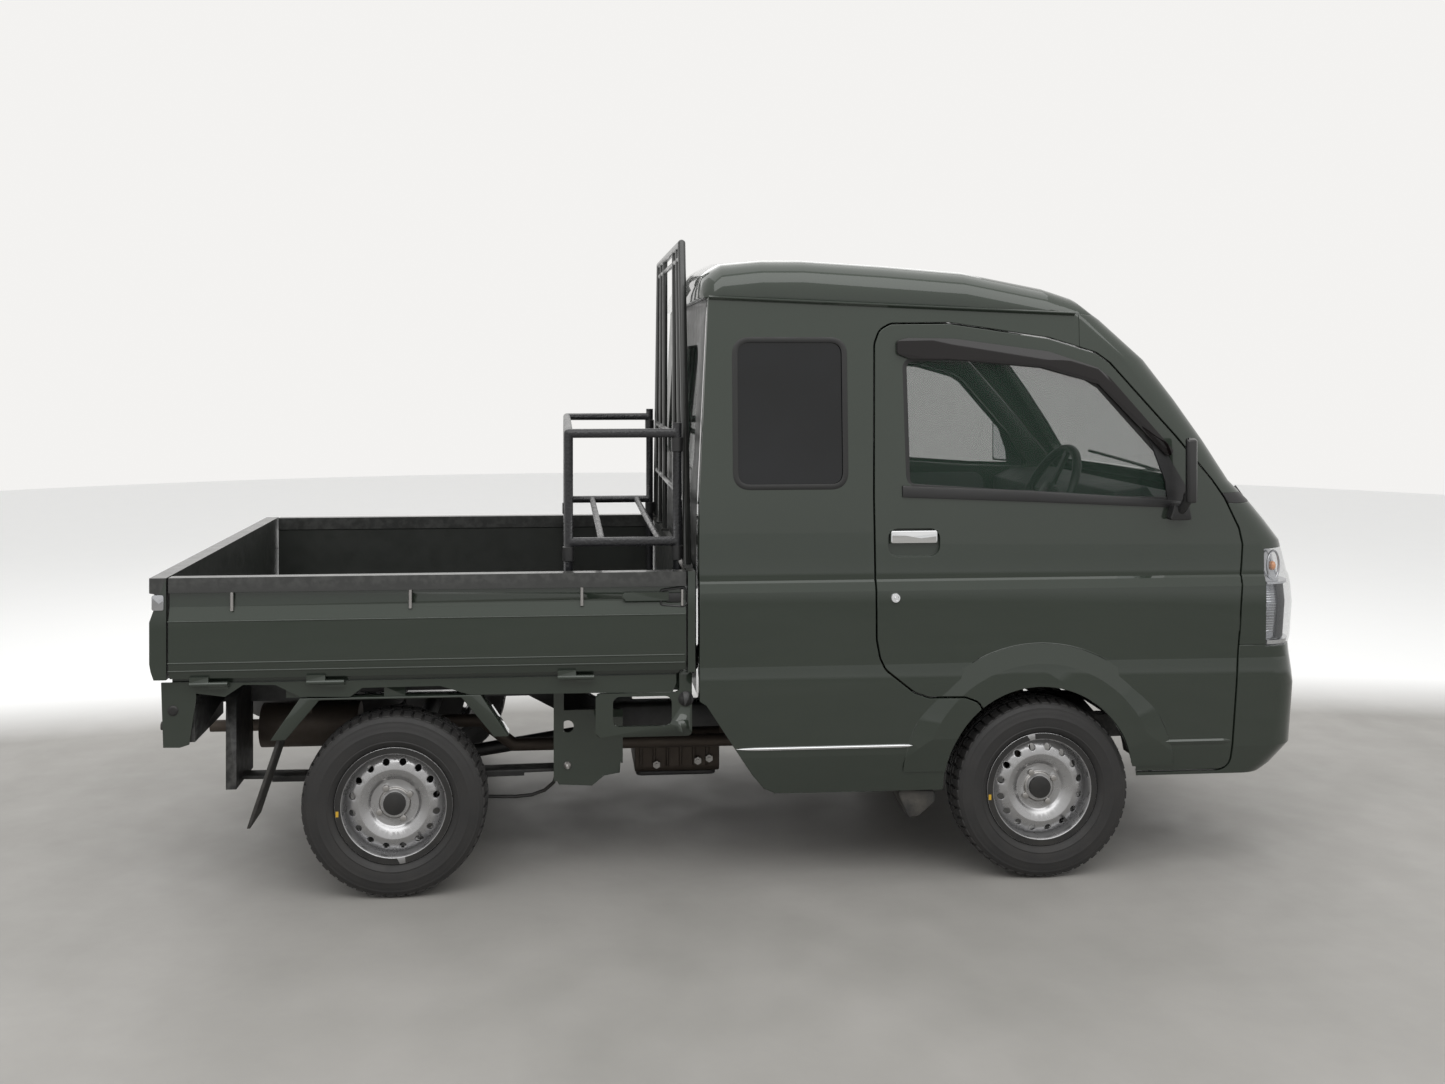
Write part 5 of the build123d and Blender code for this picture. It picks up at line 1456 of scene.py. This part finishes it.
@dataclass
class Underbody:
    """Chassis, axles, drive and what hangs below the bed."""

    def build(self) -> None:
        """Dress the underbody and add its small parts."""
        for node, finish, slot in (
                ("front_suspension", CHASSIS, Slot.CHASSIS), ("knuckle_right", CAST, Slot.CAST),
                ("knuckle_left", CAST, Slot.CAST), ("rear_axle", CHASSIS, Slot.CHASSIS),
                ("engine_block", CAST, Slot.CAST), ("exhaust", CAST, Slot.CAST),
                ("fuel_tank", CHASSIS, Slot.CHASSIS), ("rear_stays", PAINT, Slot.PAINT),
                ("mud_flaps", MUD, Slot.RUBBER), ("tail_lamps", LENS_RED, Slot.LAMP_RED)):
            dress(node, finish, 0.0015, 35.0)
        dress_parts("chassis_frame", [("bolt", STEEL, Slot.STEEL, lambda p: abs(p.y) > 0.5965 and p.x > -1.0),
                                      ("tower", PAINT, Slot.PAINT, lambda p: 0.589 < abs(p.y) and p.x > -1.0),
                                      ("frame", CHASSIS, Slot.CHASSIS, rest)], 0.0, 30.0)
        dress_parts("gearbox", [("pan", CHASSIS, Slot.CHASSIS, lambda p: p.z < 0.1725),
                                ("case", CAST, Slot.CAST, rest)], 0.0025, 35.0)
        dress_parts("side_skirts", [("cap", PLASTIC, Slot.PLASTIC, self.in_cap),
                                    ("panel", PAINT, Slot.PAINT, rest)], 0.0, 30.0)
        dress_parts("spare_wheel", [("bar", CHASSIS, Slot.CHASSIS, lambda p: p.z > 0.5128),
                                    ("tyre", TYRE, Slot.TYRE, self.in_spare_tyre),
                                    ("rim", WHEEL, Slot.WHEEL, rest)], 0.0, 35.0)
        self.build_liner()
        self.build_cable()
        self.build_flaps()
        self.build_fittings()

    @staticmethod
    def in_cap(place: Vector) -> bool:
        """Tell whether a face of the skirt belongs to its rubber plug."""
        return abs(place.y) > 0.7122 and math.hypot(place.x + 0.188, place.z - 0.557) < 0.0225

    @staticmethod
    def in_spare_tyre(place: Vector) -> bool:
        """Tell whether a face of the spare wheel belongs to its tyre."""
        return math.hypot(place.x + 1.345, place.y - 0.050) > 0.1692

    def build_liner(self) -> None:
        """Add the dark liners of the front wheel arches."""
        rows = []
        for radius in (0.3450, 0.3480):
            arc = [(FRONT_AXLE_X + radius * math.cos(t), TYRE_RADIUS + radius * math.sin(t))
                   for t in np.linspace(math.radians(8), math.radians(172), 37)]
            rows += arc if not rows else arc[::-1]
        Shape().prism(rows, Turn.Y, -0.688, -0.500).pair("arch_liner", MUD, "root", Slot.RUBBER)

    def build_cable(self) -> None:
        """Add the brake cable that sags between spring tower and axle."""
        knots = mm([(-1000, -470, 236), (-930, -460, 214), (-850, -452, 205), (-752, -450, 202),
                    (-690, -450, 200), (-640, -450, 204), (-600, -452, 218), (-572, -458, 244),
                    (-560, -470, 286)])
        Shape().tube(knots, 0.0055, 8).piece("brake_cable_right", GASKET, "root", Slot.RUBBER)

    def build_flaps(self) -> None:
        """Add the flaps behind the front wheels."""
        flap = Shape().prism(rounded(mm([(440, 270), (556, 266), (554, 232), (505, 192), (476, 188)]), 0.012),
                             Turn.Y, -0.700, -0.560, 0.003)
        flap.pair("front_flap", MUD, "root", Slot.RUBBER)

    def build_fittings(self) -> None:
        """Add the bright unions on the gearbox and the round plug of each rear corner plate."""
        unions = Shape()
        for x, z in ((-0.098, 0.215), (-0.060, 0.222), (-0.235, 0.205)):
            unions.lathe([(0.0, -0.012), (0.006, -0.012), (0.006, -0.006), (0.013, -0.006), (0.013, 0.004),
                          (0.0, 0.004)], (x, -0.178, z), Turn.Y, 6)
        unions.piece("gearbox_unions", STEEL, "root", Slot.STEEL)
        plug = Shape().lathe([(0.0, -0.002), (0.008, -0.003), (0.013, -0.002), (0.015, 0.001), (0.0, 0.001)],
                             (-1.640, -0.7125, 0.553), Turn.Y, 24)
        plug.pair("plate_plug", GASKET, "root", Slot.RUBBER, 60.0)


@dataclass
class Wheels:
    """Four road wheels: moulded tyres with block tread, and steel rims with nuts and caps."""

    radius: float = TYRE_RADIUS
    pitches: int = 54
    rows: tuple[tuple[str, float, float], ...] = (("rear", REAR_AXLE_X, REAR_TRACK_HALF),
                                                  ("front", FRONT_AXLE_X, FRONT_TRACK_HALF))

    def build(self) -> None:
        """Build tyres and dress rims."""
        carcass, tread = self.carcass(), self.tread()
        for end, x, y in self.rows:
            place = Matrix.Translation((x, -y, self.radius))
            for side, label in SIDE_NAMES.items():
                tyre = Shape().add_mesh(carcass, place)
                tyre.add_mesh(tread, place)
                body = f"wheel_{end}_{label}"
                tyre.piece(f"tyre_{end}_{label}_moulded", TYRE, body, Slot.TYRE, side, 35.0,
                           (f"tyre_{end}_{label}",))
                dress_parts(f"rim_{end}_{label}", self.rim_rules(x, side * y), 0.0012, 40.0)
                self.build_valve(end, label, x, y, side)

    def rim_rules(self, x: float, y: float) -> list[Rule]:
        """Give the rules that split a rim into cap, nuts and disc."""
        def out(p: Vector) -> float:
            """Give how far a point stands out of the wheel's middle plane."""
            return (p.y - y) * (1 if y > 0 else -1)

        def reach(p: Vector) -> float:
            """Give how far a point is from the axle."""
            return math.hypot(p.x - x, p.z - self.radius)

        return [("cap", PLASTIC, Slot.PLASTIC, lambda p: reach(p) < 0.0325 and out(p) > 0.0335),
                ("nuts", STEEL, Slot.STEEL, lambda p: 0.0405 < reach(p) < 0.0595 and out(p) > 0.0275),
                ("disc", WHEEL, Slot.WHEEL, rest)]

    def carcass(self) -> bpy.types.Mesh:
        """Give the tyre's body at the origin, with moulded rings on its walls."""
        wall = [(154.5, 50), (169, 54), (170.5, 58), (176, 63.5), (181, 67.4), (184, 68.6), (185, 69.8),
                (187.5, 69.9), (188.5, 69.2), (196, 70.6), (206, 71.8), (214, 72.2), (215, 72.5), (217, 72.5),
                (218, 72.0), (228, 71.0), (236, 69.4), (242, 67.2), (243, 67.4), (245, 66.6), (246, 65.6),
                (251, 63.4), (255, 60.2), (257.2, 56.5), (258, 50), (258.4, 20)]
        profile = wall + [(r, -h) for r, h in reversed(wall)]
        return Shape().lathe(mm(profile), (0, 0, 0), Turn.Y, 128).mesh("carcass")

    def tread(self) -> bpy.types.Mesh:
        """Give the ring of tread blocks at the origin."""
        pitch = math.tau * 263 / self.pitches
        h = pitch / 2
        lug = [(-0.80 * h, 33), (0.62 * h, 31), (0.78 * h, 60.5), (-0.62 * h, 60.5)]
        block = [(-0.85 * h, 13), (0.0, 10.5), (0.75 * h, 14.5), (0.85 * h, 28), (0.05 * h, 24),
                 (-0.75 * h, 28.5)]
        rib = [(-1.01 * h, -6.5), (0.0, -2.5), (1.01 * h, -6.5), (1.01 * h, 3.5), (0.0, 7.5),
               (-1.01 * h, 3.5)]
        item = Shape()
        for turn, outline in ((1, lug), (1, block), (-1, lug), (-1, block), (0, rib)):
            shift, flip = (0.0, 1) if turn >= 0 else (0.5 * h, -1)
            points = [((x + shift) * MM, y * flip * MM) for x, y in outline]
            item.prism(points, Turn.Z, 0.2560, 0.2645, 0.0009, 1)
        for vertex in item.form.verts:
            vertex.co.z -= max(0.0, abs(vertex.co.y) - 0.042) * 0.33
        return RingArray(self.pitches).realise(item, TYRE)

    def build_valve(self, end: str, label: str, x: float, y: float, side: int) -> None:
        """Add the valve and the paint marks of one wheel."""
        turn = math.radians(-52)
        spot = (x + 0.128 * math.cos(turn), -y - 0.034, self.radius + 0.128 * math.sin(turn))
        valve = Shape().tube([spot, (spot[0] - 0.004, spot[1] - 0.014, spot[2] + 0.004),
                              (spot[0] - 0.008, spot[1] - 0.024, spot[2] + 0.008)], 0.0045, 10)
        valve.piece(f"valve_{end}_{label}", GASKET, f"wheel_{end}_{label}", Slot.RUBBER, side)
        mark = math.radians(187)
        at = (x + 0.1605 * math.cos(mark), self.radius + 0.1605 * math.sin(mark))
        patch = Shape().prism([(at[0] - 0.004, at[1] - 0.008), (at[0] + 0.004, at[1] - 0.008),
                               (at[0] + 0.004, at[1] + 0.008), (at[0] - 0.004, at[1] + 0.008)], Turn.Y,
                              -y - 0.0592, -y - 0.0570)
        patch.piece(f"mark_{end}_{label}", YELLOW, f"wheel_{end}_{label}", Slot.WHEEL, side)


@dataclass
class Pad:
    """One padded cushion: a rounded block blown up by cloth, with sewn channels."""

    name: str
    outline: Outline
    y0: float
    y1: float
    channels: tuple[float, ...] = ()
    swell: float = 0.022
    voxel: float = 0.010

    def build(self) -> None:
        """Build the pad for the right seat and its mirror for the left."""
        start = Shape().prism(rounded(self.outline, 0.045, 5), Turn.Y, self.y0, self.y1, 0.024, 3)
        mesh = start.mesh(self.name)
        mesh = self.blow_up(mesh)
        self.sew(mesh)
        for side, label in SIDE_NAMES.items():
            piece = Shape().add_mesh(mesh).piece(f"{self.name}_{label}", FABRIC, "root", Slot.FABRIC, side,
                                                 60.0, (f"seat_{label}",))

    def blow_up(self, mesh: bpy.types.Mesh) -> bpy.types.Mesh:
        """Blow the pad up with cloth and give the result, with each point's way capped."""
        pad = link(self.name + "_cloth", mesh, FABRIC.build())
        bpy.context.view_layer.objects.active = pad
        remesh = pad.modifiers.new("remesh", "REMESH")
        remesh.mode = "VOXEL"
        remesh.voxel_size = self.voxel
        bpy.context.view_layer.update()
        even = bpy.data.meshes.new_from_object(pad.evaluated_get(bpy.context.evaluated_depsgraph_get()))
        pad.modifiers.clear()
        pad.data = even
        cloth = pad.modifiers.new("cloth", "CLOTH")
        cloth.settings.use_pressure = True
        cloth.settings.uniform_pressure_force = 4.0
        cloth.settings.effector_weights.gravity = 0.0
        cloth.point_cache.frame_end = 20
        for step in range(1, 21):
            bpy.context.scene.frame_set(step)
        done = bpy.data.meshes.new_from_object(pad.evaluated_get(bpy.context.evaluated_depsgraph_get()))
        for before, after in zip(even.vertices, done.vertices):
            way = after.co - before.co
            if way.length > self.swell:
                after.co = before.co + way.normalized() * self.swell
        bpy.data.objects.remove(pad)
        bpy.context.scene.frame_set(1)
        return done

    def sew(self, mesh: bpy.types.Mesh) -> None:
        """Press the sewn channels into the pad."""
        middle = (self.y0 + self.y1) / 2
        mesh.update()
        for vertex in mesh.vertices:
            depth = sum(math.exp(-((vertex.co.y - middle - c) / 0.006) ** 2) for c in self.channels)
            vertex.co -= vertex.normal * 0.007 * depth


@dataclass
class CabInside:
    """Seats, dashboard, steering wheel and door cards."""

    def build(self) -> None:
        """Dress the inside."""
        dress("dashboard", DASH, 0.006, 35.0)
        dress("steering_wheel", PLASTIC, 0.003, 40.0)
        cushion = mm([(332, 800), (838, 800), (838, 905), (810, 925), (332, 915)])
        back = mm([(312, 925), (452, 940), (385, 1310), (298, 1310)])
        head = mm([(300, 1338), (380, 1338), (366, 1492), (296, 1492)])
        channels = (-0.13, -0.045, 0.045, 0.13)
        for pad in (Pad("seat_cushion", cushion, -0.545, -0.135, channels),
                    Pad("seat_back", back, -0.545, -0.135, channels),
                    Pad("head_rest", head, -0.450, -0.230, (), 0.015, 0.008)):
            pad.build()
        self.build_cards()

    def build_cards(self) -> None:
        """Add the door cards with their arm rests."""
        card = Shape()
        card.prism(rounded(mm([(430, 835), (1150, 835), (1150, 1095), (430, 1095)]), 0.05), Turn.Y, -0.6760,
                   -0.6690, 0.002)
        card.prism(rounded(mm([(620, 920), (900, 925), (900, 960), (620, 955)]), 0.012), Turn.Y,
                   -0.6700, -0.6420, 0.006)
        card.pair("door_card", INTERIOR, DOOR, Slot.INTERIOR)


@dataclass
class Studio:
    """Pale floor, soft light and the camera at the photograph's viewing angle."""

    eye: Point = (-0.5483, -4.5216, 1.531)
    yaw: float = -4.709
    lens: float = 32.77
    shift: Point = (0.0364, -0.1233)
    floor_radius: float = 14.0

    def build(self) -> None:
        """Build the studio."""
        self.build_floor()
        self.build_world()
        self.build_lamps()
        self.build_camera()
        bpy.context.scene.view_settings.view_transform = "Standard"

    def build_floor(self) -> None:
        """Build the floor disc, grey under the truck and white further out."""
        floor = Shape()
        floor.lathe([(0.0, 0.0), (self.floor_radius, 0.0), (self.floor_radius, -0.05), (0.0, -0.05)],
                    (0, 0, 0), Turn.Z, 96)
        material = bpy.data.materials.new("studio_floor")
        material.use_nodes = True
        sheet = Sheet(material.node_tree)
        shader = material.node_tree.nodes["Principled BSDF"]
        place = sheet.add("TexCoord")
        oval = sheet.add("Mapping", Location=(0.0, 1.9, 0.0), Scale=(0.5, 1.0, 1.0))
        sheet.link(place.outputs["Object"], oval.inputs["Vector"])
        length = sheet.add("VectorMath", operation="LENGTH")
        sheet.link(oval.outputs["Vector"], length.inputs[0])
        far = sheet.range(length.outputs["Value"], 3.2, 3.9)
        patch = sheet.mix(sheet.range(sheet.noise(1.3, 6.0, 0.6), 0.3, 0.7), (0.27, 0.262, 0.245, 1),
                          (0.33, 0.318, 0.30, 1))
        sheet.link(sheet.mix(far, patch, (0.92, 0.92, 0.91, 1)), shader.inputs["Base Color"])
        rough = sheet.range(sheet.noise(5.0, 4.0), 0.3, 0.7, 0.42, 0.62)
        sheet.link(rough, shader.inputs["Roughness"])
        made = link("studio_floor", floor.mesh("studio_floor"), material)

    def build_world(self) -> None:
        """Build the soft light all round, with a white background."""
        world = bpy.data.worlds.new("studio_world")
        bpy.context.scene.world = world
        world.use_nodes = True
        sheet = Sheet(world.node_tree)
        shader = world.node_tree.nodes["Background"]
        path = sheet.add("LightPath")
        seen = path.outputs["Is Camera Ray"]
        for kind in ("Is Glossy Ray", "Is Transmission Ray"):
            seen = sheet.math("MAXIMUM", seen, path.outputs[kind])
        sheet.link(sheet.mix(seen, (0.80, 0.80, 0.80, 1), (0.90, 0.89, 0.875, 1)), shader.inputs["Color"])
        shader.inputs["Strength"].default_value = 1.0

    def build_lamps(self) -> None:
        """Build the soft lamps."""
        # name, place, size, power in watts
        for name, place, size, power in (("key", (0.0, -3.4, 4.2), 9.0, 170.0),
                                         ("back", (-0.4, 3.2, 4.0), 6.0, 60.0),
                                         ("top", (0.0, 0.0, 4.6), 6.0, 60.0)):
            lamp = bpy.data.lights.new(name, "AREA")
            lamp.shape = "RECTANGLE"
            lamp.size = size
            lamp.size_y = 3.0
            lamp.energy = power
            made = bpy.data.objects.new(name, lamp)
            made.location = place
            made.rotation_euler = (Vector((0, 0, 0.6)) - Vector(place)).to_track_quat("-Z", "Y").to_euler()
            bpy.context.scene.collection.objects.link(made)

    def build_camera(self) -> None:
        """Build the camera."""
        data = bpy.data.cameras.new("camera")
        data.sensor_width = 36.0
        data.lens = self.lens
        data.shift_x, data.shift_y = self.shift
        data.clip_end = 100.0
        camera = bpy.data.objects.new("camera", data)
        camera.location = self.eye
        camera.rotation_euler = (math.radians(90), 0, math.radians(self.yaw))
        bpy.context.scene.collection.objects.link(camera)
        bpy.context.scene.camera = camera


def main() -> None:
    """Build the truck's looks in order."""
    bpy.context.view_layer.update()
    for part in (CabPanels(), CabGlass(), Nose(), LoadBed(), Racks(), Underbody(), Wheels(), CabInside(),
                 Studio()):
        part.build()
        log.info("built %s", type(part).__name__)


if __name__ == "__main__":
    main()
